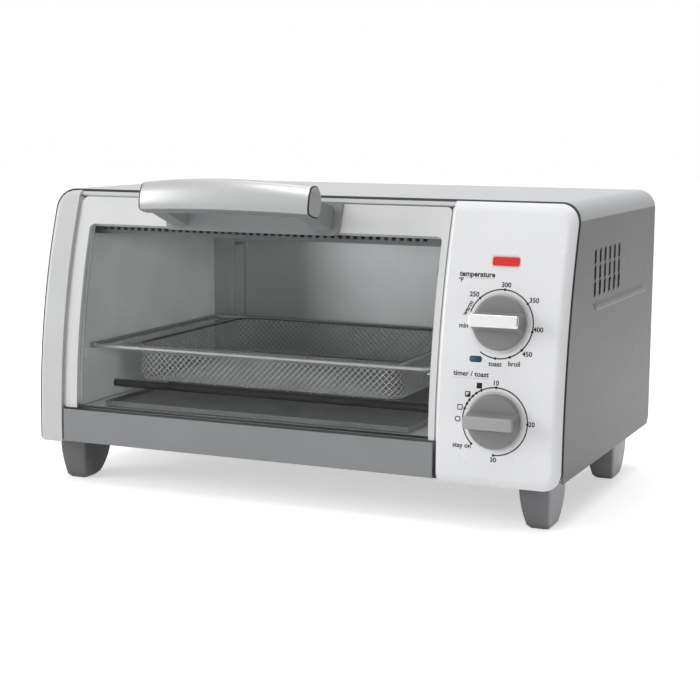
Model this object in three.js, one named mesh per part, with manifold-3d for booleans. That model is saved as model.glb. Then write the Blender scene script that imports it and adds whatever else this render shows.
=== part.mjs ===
// Countertop toaster oven with an air-fry basket, built up from its separate pieces.
//
// Millimetres, +X to the oven's right, +Y to its back, +Z up. Inside the "oven" group the origin is
// at the foot of the front seam, on the level of the body's bottom; the group is then placed so that
// the part's own origin is on the table, under the middle of the whole object.
import * as THREE from 'three';
import { mergeVertices } from 'three/addons/utils/BufferGeometryUtils.js';
import Module from 'manifold-3d';

const wasm = await Module();
wasm.setup();

// ---- Driving dimensions ------------------------------------------------------------------------
const bodyWidth = 417;
const bodyDepth = 244;
const bodyHeight = 192;
const footHeight = 30;

const frontRadius = 500;        // the front leans back along an arc of this radius
const frontUpright = 15;        // below this height the front is upright
const cornerRadius = 14;        // top corners of the body
const sheet = 1;                // thickness of the body's sheet metal
const gap = 0.3;                // clearance between pieces that rest on each other

const wrapperBottom = 4.7;      // the wrapper ends this far above the bottom of the front
const backCornerRadius = 8;

const stileWidth = 21;          // painted upright at the left of the door
const railHeight = 4.4;         // painted rail over the door
const frameProud = 3.4;         // how far the frame and panel stand in front of the wrapper's edge
const framePlate = 1.2;         // thickness of the plate behind the door
const framePlateSetback = 6.5;  // its distance behind the wrapper's edge

const panelWidth = 90.2;
const panelDrop = 1.3;          // the panel reaches this far below the frame
const panelWall = 2.5;

const doorGap = 2.1;            // running gap at the sides of the door
const doorBottomGap = 1;        // running gap under the door
const doorProud = 0.9;
const doorDepth = 5.5;
const doorTopGap = 1.2;
const doorBand = 20.3;          // height of the painted band over the glass
const doorSideLeft = 10.1;
const doorSideRight = 4.5;
const glassThickness = 2.8;
const glassRecess = 1.5;
const glassLip = 5;             // how far the door's back lip reaches behind the glass
const hingeRise = 2.3;          // the hinge pins above the door's bottom edge
const hingeSetback = 1.8;
const hingePinRadius = 1.5;
const pinReach = 4;             // how far a pin enters the frame

const stripBottom = 1;          // painted strip under the door
const stripTop = 26;
const stripProud = 4.1;

const cavitySideGap = 5.5;      // from the door's edge to the inside of the left wall
const cavityRoofDrop = 20;
const cavityBackGap = 12;       // from the cavity's back wall to the back of the body
const liner = 0.8;              // thickness of the cavity's walls

const knobRadius = 18.8;
const knobThickness = 4.5;
const gripMargin = 1.3;         // the grip stops this far inside the knob's edge
const gripThickness = 8.6;
const gripReach = 17.4;         // front of the grip, measured from the panel's face
const spindleRadius = 3;
const lowerKnobHeight = 44.2;
const knobPitch = 65.7;
const lampRise = 41.8;          // lamp above the upper knob
const lampWidth = 19.4;
const lampHeight = 5.6;
const lampFlange = 1.5;         // flange round the lens, behind the panel's skin
const controlInset = 48;        // centre line of the controls, from the right side

const basketRise = 46;          // the basket's rim above the cavity's floor
const basketWire = 4;
const basketBackGap = 6;        // from the basket's rim to the cavity's back wall
const basketSetback = 22;
const panMarginX = 31;          // from the basket's rim wire to its mesh pan
const panMarginY = 18;
const panDrop = 28;
const panWall = 1.2;

const trayWidth = 252;
const trayLip = 4;

const elementRadius = 3;
const elementGap = 12;          // upper elements under the cavity's roof
const lowerElementRise = 10;    // lower elements over its floor
const frontElementSetback = 54;
const rearElementGap = 50;
const fanShare = 0.3;           // the fan's radius, as a share of the cavity's height
const fanInset = 82;            // the fan's axis, from the cavity's back wall
const fanHousingDepth = 15;
const motorRadius = 24;
const motorLength = 26;

const footWidth = 23;
const footLength = 39;
const footSideInset = 11;
const footBackInset = 26;
const spacerDepth = 8;
const handleLength = 137;

// ---- Places worked out from them ----------------------------------------------------------------
const half = bodyWidth / 2;
const inner = half - sheet - gap;
const panelLeft = half - panelWidth;
const doorLeft = -half + stileWidth + doorGap;
const doorRight = panelLeft - doorGap;
const doorMiddle = (doorLeft + doorRight) / 2;
const doorBottom = stripTop + doorBottomGap;
const hingeHeight = doorBottom + hingeRise;
const doorTop = bodyHeight - railHeight - doorTopGap;
const glassLeft = doorLeft + doorSideLeft;
const glassRight = doorRight - doorSideRight;
const glassTop = doorTop - doorBand;
const cavityLeft = doorLeft + cavitySideGap - doorGap;
const cavityRight = doorRight - cavitySideGap - doorGap;
const cavityMiddle = (cavityLeft + cavityRight) / 2;
const cavityFloorHeight = stripTop;
const cavityRoof = bodyHeight - cavityRoofDrop;
const cavityBack = bodyDepth - cavityBackGap;
const controlX = half - controlInset;
const upperKnobHeight = lowerKnobHeight + knobPitch;
const lampZ = upperKnobHeight + lampRise;
const plateBack = framePlateSetback + framePlate;
const rimLeft = cavityLeft + 2.2;
const rimRight = cavityRight - 3.2;
const basketBack = cavityBack - basketBackGap;
const basketRimHeight = cavityFloorHeight + basketRise;
const gripLength = 2 * (knobRadius - gripMargin);
const basketPanBottom = basketRimHeight - panDrop;
const coverFront = bodyDepth - sheet - 0.5;
const coverBack = coverFront + sheet;
const fanY = cavityBack - fanInset;
const fanZ = (cavityFloorHeight + cavityRoof) / 2;
const fanRadius = fanShare * (cavityRoof - cavityFloorHeight);

// ---- Materials ----------------------------------------------------------------------------------
function paint(color, roughness, metalness = 0) {
  return new THREE.MeshStandardMaterial({ color, roughness, metalness });
}

const silverPaint = paint(0xd6d7d8, 0.4);
const greyPaint = paint(0x868889, 0.5);
const whitePlastic = paint(0xe3e4e5, 0.35);
const greyPlastic = paint(0x87888a, 0.4);
const darkPlastic = paint(0x707375, 0.5);
const footPlastic = paint(0x5f6062, 0.7);
const chrome = paint(0xf2f2f0, 0.12, 1);
const steel = paint(0x9a9c9e, 0.35, 1);
const linerSteel = paint(0x8b8d8f, 0.45, 1);
const wireSteel = paint(0xb4b5b6, 0.3, 1);
const elementCoat = paint(0xb9b6b0, 0.6);
const glassTint = paint(0xaab0b2, 0.05);
const redLens = paint(0xde3933, 0.3);
const blackPlastic = paint(0x222324, 0.6);

// ---- Shapes -------------------------------------------------------------------------------------
const roundSteps = 6;           // segments of a quarter round
const frontSteps = 12;          // segments of the front's arc

function solid(geometry) {
  const plain = geometry.clone();
  plain.deleteAttribute('normal');
  plain.deleteAttribute('uv');
  const merged = mergeVertices(plain, 1e-4);
  return new wasm.Manifold(new wasm.Mesh({
    numProp: 3,
    vertProperties: new Float32Array(merged.attributes.position.array),
    triVerts: new Uint32Array(merged.index.array),
  }));
}

function geometryOf(shape) {
  const mesh = shape.getMesh();
  const geometry = new THREE.BufferGeometry();
  geometry.setAttribute('position', new THREE.BufferAttribute(mesh.vertProperties, 3));
  geometry.setIndex(new THREE.BufferAttribute(mesh.triVerts, 1));
  geometry.computeVertexNormals();
  return geometry;
}

function join(...solids) {
  return solids.reduce((whole, next) => whole.add(next));
}

function cut(body, ...tools) {
  return tools.reduce((left, tool) => left.subtract(tool), body);
}

function box([xLow, xHigh], [yLow, yHigh], [zLow, zHigh]) {
  const geometry = new THREE.BoxGeometry(xHigh - xLow, yHigh - yLow, zHigh - zLow);
  geometry.translate((xLow + xHigh) / 2, (yLow + yHigh) / 2, (zLow + zHigh) / 2);
  return solid(geometry);
}

// A shape drawn in (y, z), carried along X.
function alongX(outline, [xLow, xHigh]) {
  const shape = outline instanceof THREE.Shape ? outline : new THREE.Shape(outline);
  const options = { depth: xHigh - xLow, bevelEnabled: false, curveSegments: roundSteps };
  const geometry = new THREE.ExtrudeGeometry(shape, options);
  const turn = new THREE.Matrix4().makeBasis(
    new THREE.Vector3(0, 1, 0),
    new THREE.Vector3(0, 0, 1),
    new THREE.Vector3(1, 0, 0),
  );
  geometry.applyMatrix4(turn);
  geometry.translate(xLow, 0, 0);
  return solid(geometry);
}

// A shape drawn in (x, z), carried along Y.
function alongY(shape, [yLow, yHigh]) {
  const options = { depth: yHigh - yLow, bevelEnabled: false, curveSegments: roundSteps };
  const geometry = new THREE.ExtrudeGeometry(shape, options);
  geometry.rotateX(Math.PI / 2);
  geometry.translate(0, yHigh, 0);
  return solid(geometry);
}

// A shape drawn in (x, y), carried along Z.
function alongZ(shape, [zLow, zHigh]) {
  const options = { depth: zHigh - zLow, bevelEnabled: false, curveSegments: roundSteps };
  const geometry = new THREE.ExtrudeGeometry(shape, options);
  geometry.translate(0, 0, zLow);
  return solid(geometry);
}

// A rectangle with its own radius at each corner: bottom left, bottom right, top right, top left.
function roundedRect([left, right], [low, high], [bl, br, tr, tl]) {
  const shape = new THREE.Shape();
  shape.moveTo(left + bl, low);
  shape.lineTo(right - br, low);
  if (br > 0) shape.absarc(right - br, low + br, br, -Math.PI / 2, 0);
  shape.lineTo(right, high - tr);
  if (tr > 0) shape.absarc(right - tr, high - tr, tr, 0, Math.PI / 2);
  shape.lineTo(left + tl, high);
  if (tl > 0) shape.absarc(left + tl, high - tl, tl, Math.PI / 2, Math.PI);
  shape.lineTo(left, low + bl);
  if (bl > 0) shape.absarc(left + bl, low + bl, bl, Math.PI, Math.PI * 1.5);
  return shape;
}

function rodX(radius, [xLow, xHigh], y, z, sides = 16) {
  const geometry = new THREE.CylinderGeometry(radius, radius, xHigh - xLow, sides);
  geometry.rotateZ(Math.PI / 2);
  geometry.translate((xLow + xHigh) / 2, y, z);
  return solid(geometry);
}

function rodY(radius, [yLow, yHigh], x, z, sides = 24) {
  const geometry = new THREE.CylinderGeometry(radius, radius, yHigh - yLow, sides);
  geometry.translate(x, (yLow + yHigh) / 2, z);
  return solid(geometry);
}

// How far back the wrapper's front edge lies at a height, and the lean of the front there.
function frontY(z) {
  const rise = Math.max(0, z - frontUpright);
  return frontRadius - Math.sqrt(frontRadius ** 2 - rise ** 2);
}

function frontLean(z) {
  return Math.asin(Math.max(0, z - frontUpright) / frontRadius);
}

function frontLine(offset, [zLow, zHigh]) {
  const points = [];
  for (let i = 0; i <= frontSteps; i += 1) {
    const z = zLow + ((zHigh - zLow) * i) / frontSteps;
    points.push(new THREE.Vector2(frontY(z) + offset, z));
  }
  return points;
}

// A slab that follows the curve of the front, between two distances behind it.
function frontSlab(xRange, [near, far], zRange) {
  return alongX([...frontLine(near, zRange), ...frontLine(far, zRange).reverse()], xRange);
}

// A prism through the whole depth of the body, to trim a slab to an outline.
function through(shape) {
  return alongY(shape, [-60, bodyDepth + 60]);
}

// A closed skin over a row of rings with equal numbers of points.
function loft(rings) {
  const count = rings[0].length;
  const points = rings.flat();
  const faces = [];
  for (let ring = 0; ring < rings.length - 1; ring += 1) {
    for (let i = 0; i < count; i += 1) {
      const a = ring * count + i;
      const b = ring * count + ((i + 1) % count);
      faces.push(a, b, a + count, b, b + count, a + count);
    }
  }
  for (const [ring, flip] of [[0, true], [rings.length - 1, false]]) {
    const middle = new THREE.Vector3();
    rings[ring].forEach((point) => middle.add(point));
    points.push(middle.divideScalar(count));
    for (let i = 0; i < count; i += 1) {
      const a = ring * count + i;
      const b = ring * count + ((i + 1) % count);
      if (flip) faces.push(points.length - 1, b, a);
      else faces.push(points.length - 1, a, b);
    }
  }
  const geometry = new THREE.BufferGeometry();
  const numbers = points.flatMap((point) => [point.x, point.y, point.z]);
  geometry.setAttribute('position', new THREE.Float32BufferAttribute(numbers, 3));
  geometry.setIndex(faces);
  return solid(geometry);
}

const oven = new THREE.Group();

function add(name, shape, material, group = oven) {
  const mesh = new THREE.Mesh(geometryOf(shape), material);
  mesh.name = name;
  group.add(mesh);
  return mesh;
}

// ---- Outer wrapper: sides and roof folded from one sheet ----------------------------------------
const ventCount = 6;
const ventPitch = 13.1;
const ventWidth = 5.2;
const ventStart = 65.4;
const ventBottom = 124.2;
const ventCell = 9.9;
const ventBridge = 1.4;
const ventSlant = 1.8;
const ribHeight = 5.6;
const ribProud = 0.8;
const ribBottom = 114.3;
const ribStart = 64;
const ribEnd = 207;
const ribSlant = 14;

function ventCuts() {
  const cells = [];
  for (let column = 0; column < ventCount; column += 1) {
    const y = ventStart + column * ventPitch;
    for (let row = 0; row < 3; row += 1) {
      const z = ventBottom + row * (ventCell + ventBridge);
      const cell = [
        new THREE.Vector2(y, z),
        new THREE.Vector2(y + ventWidth, z + ventSlant),
        new THREE.Vector2(y + ventWidth, z + ventCell + ventSlant),
        new THREE.Vector2(y, z + ventCell),
      ];
      cells.push(alongX(cell, [half - 4, half + 4]));
    }
  }
  return cells;
}

function sideRib(xRange) {
  return alongX([
    new THREE.Vector2(ribStart + ribSlant / 2, ribBottom),
    new THREE.Vector2(ribEnd + ribSlant, ribBottom),
    new THREE.Vector2(ribEnd, ribBottom + ribHeight),
    new THREE.Vector2(ribStart, ribBottom + ribHeight),
  ], xRange);
}

function sideProfile() {
  const shape = new THREE.Shape();
  shape.setFromPoints(frontLine(0, [wrapperBottom, bodyHeight]).reverse());
  shape.lineTo(bodyDepth - backCornerRadius, wrapperBottom);
  const middle = [bodyDepth - backCornerRadius, wrapperBottom + backCornerRadius];
  shape.absarc(...middle, backCornerRadius, -Math.PI / 2, 0);
  shape.lineTo(bodyDepth, bodyHeight);
  return shape;
}

function outerWrapper() {
  const r = cornerRadius;
  const outside = roundedRect([-half, half], [wrapperBottom, bodyHeight], [0, 0, r, r]);
  const hollow = [r - sheet, r - sheet];
  const inside = roundedRect(
    [-half + sheet, half - sheet], [wrapperBottom - 5, bodyHeight - sheet], [0, 0, ...hollow]);
  const folded = cut(through(outside), through(inside));
  const trimmed = folded.intersect(alongX(sideProfile(), [-half, half]));
  const ribs = join(sideRib([half - sheet / 2, half + ribProud]),
    sideRib([-half - ribProud, -half + sheet / 2]));
  return cut(join(trimmed, ribs), ...ventCuts());
}

add('outer_wrapper', outerWrapper(), greyPaint);

// ---- Front frame: plate around the cavity's mouth, with the left stile and the top rail ----------
const plateBottom = 5;
const postWidth = 3.6;
const hingeHoleRadius = hingePinRadius + 0.3;
const spindleHole = 5.2;

// A rod square to the front at a place on it, between two distances behind the front.
function frontRod(radius, [near, far], x, z, sides = 24) {
  const geometry = new THREE.CylinderGeometry(radius, radius, far - near, sides);
  geometry.translate(0, (near + far) / 2, 0);
  geometry.rotateX(-frontLean(z));
  geometry.translate(x, frontY(z), z);
  return solid(geometry);
}

function controlBore(radius, height) {
  return frontRod(radius, [-20, 20], controlX, height);
}

function frontFrame() {
  const r = cornerRadius - sheet - gap;
  const plateOutline = roundedRect(
    [-inner, inner], [plateBottom, bodyHeight - sheet - gap], [0, 0, r, r]);
  const plate = frontSlab([-inner, inner], [framePlateSetback, plateBack], [plateBottom, bodyHeight]);
  const face = [-frameProud, -gap];
  const neck = [-gap - 0.2, framePlateSetback + 0.2];
  const left = [-half, -half + stileWidth];
  const top = [-half, panelLeft - gap];
  const railLow = bodyHeight - railHeight;
  const outer = roundedRect([-half, half], [0, bodyHeight], [5, 0, cornerRadius, cornerRadius]);
  const faces = join(
    frontSlab(left, face, [0, bodyHeight]),
    frontSlab(top, face, [railLow, bodyHeight]),
  ).intersect(through(outer));
  const necks = join(
    frontSlab([-inner, left[1]], neck, [plateBottom, bodyHeight]),
    frontSlab([-inner, top[1]], neck, [railLow, bodyHeight]),
  );
  const postLeft = panelLeft + panelWall + gap;
  const post = frontSlab([postLeft, postLeft + postWidth],
    [panelWall - frameProud + 0.35, framePlateSetback + 0.8], [hingeHeight - 6, hingeHeight + 6]);
  const body = join(faces, necks.intersect(through(plateOutline)),
    plate.intersect(through(plateOutline)), post);
  const mouth = box([cavityLeft, cavityRight], [-10, 60], [cavityFloorHeight, cavityRoof]);
  const lampHole = frontSlab([controlX - lampWidth / 2 - 1, controlX + lampWidth / 2 + 1],
    [-10, 20], [lampZ - lampHeight / 2 - 1, lampZ + lampHeight / 2 + 1]);
  return cut(body, mouth, lampHole,
    controlBore(spindleHole, upperKnobHeight),
    controlBore(spindleHole, lowerKnobHeight),
    rodX(hingeHoleRadius, [-half + stileWidth - pinReach - 1, -half + stileWidth + 1], hingeSetback, hingeHeight),
    rodX(hingeHoleRadius, [panelLeft, panelLeft + 20], hingeSetback, hingeHeight));
}

add('front_frame', frontFrame(), silverPaint);

// ---- Control panel: moulded shell with a soft edge at its outer sides ---------------------------
const panelEdge = [[0, 0.9], [1.4, 1.9], [3.6, 2.7], [8, frameProud]];   // inset, height of each step

function panelOutline(inset) {
  const side = Math.max(0.5, cornerRadius - inset);
  return roundedRect([panelLeft, half - inset],
    [-panelDrop + inset, bodyHeight - inset], [1, side, side, 1]);
}

function controlPanel() {
  const x = [panelLeft, half];
  const z = [-panelDrop, bodyHeight];
  const steps = panelEdge.map(([inset, height]) => {
    const slab = frontSlab(x, [-height, -gap], z);
    return slab.intersect(through(panelOutline(inset)));
  });
  const skirtOutline = roundedRect([panelLeft, inner],
    [plateBottom + 1, bodyHeight - sheet - gap], [1, 8, cornerRadius - 2, 1]);
  const skirt = frontSlab(x, [-gap - 0.2, framePlateSetback - gap], z).intersect(through(skirtOutline));
  const hollowOutline = roundedRect([panelLeft + panelWall, inner - panelWall],
    [plateBottom + 1 + panelWall, bodyHeight - sheet - gap - panelWall], [1, 6, 9, 1]);
  const hollow = frontSlab(x, [panelWall - frameProud, framePlateSetback + 2], z)
    .intersect(through(hollowOutline));
  const window = frontSlab([controlX - lampWidth / 2, controlX + lampWidth / 2],
    [-10, 10], [lampZ - lampHeight / 2, lampZ + lampHeight / 2]);
  return cut(join(...steps, skirt), hollow, window,
    controlBore(spindleHole, upperKnobHeight),
    controlBore(spindleHole, lowerKnobHeight),
    rodX(hingeHoleRadius + 1, [panelLeft - 1, panelLeft + panelWall + 1], hingeSetback, hingeHeight));
}

add('control_panel', controlPanel(), whitePlastic);

// ---- Painted strip under the door ---------------------------------------------------------------
function lowerStrip() {
  const x = [doorLeft, doorRight];
  const face = frontSlab(x, [-stripProud, 1.2 - stripProud], [stripBottom, stripTop]);
  const fold = frontSlab(x, [-stripProud, framePlateSetback - gap], [stripBottom, stripBottom + 1.2]);
  const tab = frontSlab(x, [framePlateSetback - gap - 1.2, framePlateSetback - gap],
    [stripBottom, stripBottom + 12]);
  return join(face, fold, tab);
}

add('lower_front_strip', lowerStrip(), greyPaint);

// ---- Base plate and feet ------------------------------------------------------------------------
const baseTop = wrapperBottom;
const baseBottom = baseTop - 1.2;
const baseBack = bodyDepth - backCornerRadius - gap;

add('base_plate', box([-inner, inner], [plateBack + gap, baseBack], [baseBottom, baseTop]),
  greyPaint);

const footOutset = half - footSideInset;
const footFront = plateBack + 0.7;
const rearFootFront = bodyDepth - footBackInset - footLength;

// Upright at the outside and in front; drawn in with a round at the inside and at the back.
function foot(side, front) {
  const outer = side * footOutset;
  const innerTop = side * (footOutset - footWidth);
  const profile = new THREE.Shape();
  profile.moveTo(outer, baseBottom);
  profile.lineTo(outer, -footHeight + 8);
  profile.quadraticCurveTo(outer, -footHeight, outer - side * 2, -footHeight);
  profile.lineTo(innerTop + side * 8, -footHeight);
  profile.quadraticCurveTo(innerTop, -footHeight + 1, innerTop, baseBottom);
  const edge = new THREE.Shape();
  edge.moveTo(front, baseBottom);
  edge.lineTo(front, -footHeight);
  edge.lineTo(front + footLength * 0.5, -footHeight);
  edge.quadraticCurveTo(front + footLength * 0.97, -footHeight + 6, front + footLength, baseBottom);
  const x = side > 0 ? [innerTop, outer] : [outer, innerTop];
  return alongY(profile, [front, front + footLength]).intersect(alongX(edge, x));
}

add('foot_front_left', foot(-1, footFront), footPlastic);
add('foot_front_right', foot(1, footFront), footPlastic);
add('foot_rear_left', foot(-1, rearFootFront), footPlastic);
add('foot_rear_right', foot(1, rearFootFront), footPlastic);

// ---- Back cover, its screws, the spacers and the cord's inlet -------------------------------------
const trayLeft = cavityMiddle - trayWidth / 2;
const trayRight = cavityMiddle + trayWidth / 2;
const trayBottom = cavityFloorHeight + gap;
const traySlot = [[trayLeft - 1, trayRight + 1], [trayBottom - 0.2, trayBottom + trayLip + 1.2]];
const spacerDrop = 96;
const coverVents = 9;
const coverVentPitch = 10;
const glandRadius = 5.6;
const glandX = half - 42;
const glandZ = 38;
const screwInset = 12;
const coverStraight = wrapperBottom + backCornerRadius;   // the cover is upright above this

function coverScrewPlaces() {
  const places = [];
  for (const x of [-half + screwInset, half - screwInset]) {
    for (const z of [coverStraight + screwInset / 2, bodyHeight - screwInset]) {
      places.push([x, z]);
    }
  }
  return places;
}

// The cover's side outline: upright, with its foot bent forward in a quarter round.
function coverOutline() {
  const top = bodyHeight - sheet - gap;
  const middle = [bodyDepth - backCornerRadius, coverStraight];
  const outerRadius = coverBack - middle[0];
  const shape = new THREE.Shape();
  shape.moveTo(coverBack, top);
  shape.lineTo(coverBack, coverStraight);
  shape.absarc(...middle, outerRadius, 0, -Math.PI / 2, true);
  shape.absarc(...middle, outerRadius - sheet, -Math.PI / 2, 0, false);
  shape.lineTo(coverFront, top);
  return shape;
}

function backCover() {
  const r = cornerRadius - sheet - gap;
  const outline = roundedRect([-inner, inner], [0, bodyHeight - sheet - gap], [0, 0, r, r]);
  const plate = alongX(coverOutline(), [-inner, inner]).intersect(through(outline));
  const vents = [];
  for (let i = 0; i < coverVents; i += 1) {
    const x = cavityRight + 12 + i * coverVentPitch;
    vents.push(box([x, x + 4], [coverFront - 1, coverBack + 1], [bodyHeight - 70, bodyHeight - 32]));
  }
  const slot = box(traySlot[0], [coverFront - 1, coverBack + 1], traySlot[1]);
  const holes = coverScrewPlaces().map(([x, height]) =>
    rodY(1.8, [coverFront - 1, coverBack + 1], x, height, 12));
  const inlet = rodY(glandRadius + gap, [coverFront - 1, coverBack + 1], glandX, glandZ);
  return cut(plate, ...vents, slot, inlet, ...holes);
}

add('back_cover', backCover(), greyPaint);

coverScrewPlaces().forEach(([x, z], index) => {
  const head = rodY(3.4, [coverBack, coverBack + 2], x, z, 12);
  const shank = rodY(1.5, [coverBack - 6, coverBack + 0.5], x, z, 12);
  add(`cover_screw_${index + 1}`, join(head, shank), steel);
});

for (const [name, x] of [['left', -half + 60], ['right', half - 60]]) {
  const post = rodY(9, [coverBack, bodyDepth + spacerDepth], x, bodyHeight - spacerDrop);
  add(`rear_spacer_${name}`, post, blackPlastic);
}

const glandFlange = rodY(9.5, [coverBack, coverBack + 3], glandX, glandZ);
const glandBody = rodY(glandRadius, [coverFront - 6, coverBack + 0.5], glandX, glandZ);
const glandBore = rodY(3.6, [coverFront - 10, coverBack + 10], glandX, glandZ);
add('cord_gland', cut(join(glandFlange, glandBody), glandBore), blackPlastic);

// ---- Cavity: five liner sheets -------------------------------------------------------------------
const sideFront = plateBack + gap;
const elementPlaces = [
  ['upper_front', frontElementSetback, cavityRoof - elementGap],
  ['upper_rear', cavityBack - rearElementGap, cavityRoof - elementGap],
  ['lower_front', frontElementSetback + 12, cavityFloorHeight + lowerElementRise],
  ['lower_rear', cavityBack - rearElementGap, cavityFloorHeight + lowerElementRise],
];

function elementHoles(xRange) {
  return elementPlaces.map(([, y, z]) => rodX(elementRadius + gap, xRange, y, z));
}

// A side wall's outline in (y, z): its front edge follows the front.
function sideWallOutline() {
  const zRange = [cavityFloorHeight, cavityRoof];
  return [
    ...frontLine(sideFront, zRange),
    new THREE.Vector2(cavityBack, cavityRoof),
    new THREE.Vector2(cavityBack, cavityFloorHeight),
  ];
}

const leftWallX = [cavityLeft - liner, cavityLeft];
const rightWallX = [cavityRight, cavityRight + liner];
const fanMouth = rodX(fanRadius, [cavityRight - 5, cavityRight + 5], fanY, fanZ, 32);

add('cavity_left_wall', cut(alongX(sideWallOutline(), leftWallX), ...elementHoles([-half, 0])),
  linerSteel);
add('cavity_right_wall',
  cut(alongX(sideWallOutline(), rightWallX), fanMouth, ...elementHoles([0, half])), linerSteel);

const linerX = [cavityLeft - liner, cavityRight + liner];
const roofFront = frontY(cavityRoof + gap + liner) + sideFront;
add('cavity_ceiling',
  box(linerX, [roofFront, cavityBack], [cavityRoof + gap, cavityRoof + gap + liner]), linerSteel);
add('cavity_floor',
  box(linerX, [sideFront + 1, cavityBack], [cavityFloorHeight - gap - liner, cavityFloorHeight - gap]),
  linerSteel);

const linerBack = [cavityBack + gap, cavityBack + gap + liner];
const backWallZ = [cavityFloorHeight - gap - liner, cavityRoof + gap + liner];
const backSlot = box(traySlot[0], [cavityBack, cavityBack + 3], traySlot[1]);
add('cavity_back_wall', cut(box(linerX, linerBack, backWallZ), backSlot), linerSteel);

// Guides that the basket's rim slides on, and the guard in front of the upper element.
const guideWidth = 7;
const guideTop = basketRimHeight - basketWire / 2 - gap;

for (const [name, x, edge] of [
  ['rack_guide_left', cavityLeft, 1],
  ['rack_guide_right', cavityRight, -1],
]) {
  const near = x + edge * gap;
  const far = x + edge * guideWidth;
  const shelf = box([Math.min(near, far), Math.max(near, far)], [basketSetback, basketBack],
    [guideTop - 1, guideTop]);
  const web = box([Math.min(near, near + edge), Math.max(near, near + edge)],
    [basketSetback, basketBack], [guideTop - 8, guideTop - 0.5]);
  add(name, join(shelf, web), linerSteel);
}

const guardFront = roofFront + 2;
const guardX = [cavityLeft + gap, cavityRight - gap];
const guardCell = 6;

function elementGuard() {
  const hang = box(guardX, [guardFront, guardFront + 1], [cavityRoof - 14, cavityRoof]);
  const fold = box(guardX, [guardFront, guardFront + 9], [cavityRoof - 1, cavityRoof]);
  const slots = [];
  const count = Math.floor((guardX[1] - guardX[0] - 20) / guardCell);
  for (let i = 0; i < count; i += 1) {
    const x = guardX[0] + 10 + i * guardCell;
    slots.push(box([x, x + 3.2], [guardFront - 1, guardFront + 2], [cavityRoof - 11, cavityRoof - 6]));
  }
  return cut(join(hang, fold), ...slots);
}

add('element_guard', elementGuard(), linerSteel);

// ---- Heating elements: straight rods through both side walls -------------------------------------
for (const [name, y, z] of elementPlaces) {
  const rod = rodX(elementRadius, [cavityLeft - 9, cavityRight + 9], y, z, 12);
  add(`heating_element_${name}`, rod, elementCoat);
}

// ---- Convection fan in the right compartment ------------------------------------------------------
const guardThickness = 1.2;
const guardPitch = 8;           // from one row of slots to the next
const guardStart = cavityRight + liner + gap;
const housingX = guardStart + guardThickness + gap;
const housingRadius = fanRadius + 9;
const housingEnd = housingX + fanHousingDepth;
const fanShaftRadius = 2;

function fanGuard() {
  const x = [guardStart, guardStart + guardThickness];
  const disc = rodX(housingRadius, x, fanY, fanZ, 32);
  const slots = [];
  const rows = Math.floor(fanRadius / guardPitch) - 1;
  for (let row = -rows; row <= rows; row += 1) {
    const z = fanZ + row * guardPitch;
    const reach = Math.sqrt((fanRadius - 4) ** 2 - (row * guardPitch) ** 2);
    slots.push(box([x[0] - 1, x[1] + 1], [fanY - reach, fanY - 2], [z - 2.2, z + 2.2]));
    slots.push(box([x[0] - 1, x[1] + 1], [fanY + 2, fanY + reach], [z - 2.2, z + 2.2]));
  }
  return cut(disc, ...slots);
}

function fanHousing() {
  const shell = rodX(housingRadius, [housingX, housingEnd], fanY, fanZ, 32);
  const hollow = rodX(housingRadius - 1.2, [housingX - 1, housingEnd - 1.2], fanY, fanZ, 32);
  const hole = rodX(fanShaftRadius + 0.6, [housingX, housingEnd + 5], fanY, fanZ);
  return cut(shell, hollow, hole);
}

function fanRotor() {
  const plate = rodX(fanRadius - 6, [housingX + 3, housingX + 4.2], fanY, fanZ, 32);
  const hub = rodX(5, [housingX + 3, housingX + 10], fanY, fanZ);
  const shaft = rodX(fanShaftRadius, [housingX + 9, housingEnd + 6], fanY, fanZ, 12);
  const blades = [];
  const bladeCount = 10;
  for (let i = 0; i < bladeCount; i += 1) {
    const blade = new THREE.BoxGeometry(8, 1, 26);
    blade.rotateX(0.35);
    blade.translate(housingX + 3 + 4.2, 0, fanRadius - 20);
    blade.rotateX((i / bladeCount) * Math.PI * 2);
    blade.translate(0, fanY, fanZ);
    blades.push(solid(blade));
  }
  return join(plate, hub, shaft, ...blades);
}

add('fan_guard', fanGuard(), linerSteel);
add('fan_housing', fanHousing(), steel);
add('fan_rotor', fanRotor(), steel);

const motorFront = housingEnd + gap;
const motorBody = rodX(motorRadius, [motorFront, motorFront + motorLength], fanY, fanZ, 24);
const motorBore = rodX(fanShaftRadius + gap, [motorFront - 1, housingEnd + 7], fanY, fanZ, 12);
add('fan_motor', cut(motorBody, motorBore), steel);

// ---- Thermostat and timer, their spindles and knobs -----------------------------------------------
const timerCase = 46;
const timerDepth = 34;
const plateBulge = (timerCase / 2) ** 2 / (2 * frontRadius);
const switchFront = plateBack + plateBulge + gap;

function controlGroup(height) {
  const group = new THREE.Group();
  group.position.set(controlX, frontY(height), height);
  group.rotation.x = -frontLean(height);
  oven.add(group);
  return group;
}

// A switch's case with a bushing for the spindle; local -Y is out of the panel.
function switchCase(width, height, depth) {
  const y = [switchFront, switchFront + depth];
  const body = box([-width / 2, width / 2], y, [-height / 2, height / 2]);
  const bushing = rodY(spindleRadius + 1.8, [switchFront - 5, switchFront + 0.5], 0, 0);
  const bore = rodY(spindleRadius + gap, [switchFront - 6, switchFront + 6], 0, 0);
  return cut(join(body, bushing), bore);
}

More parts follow.
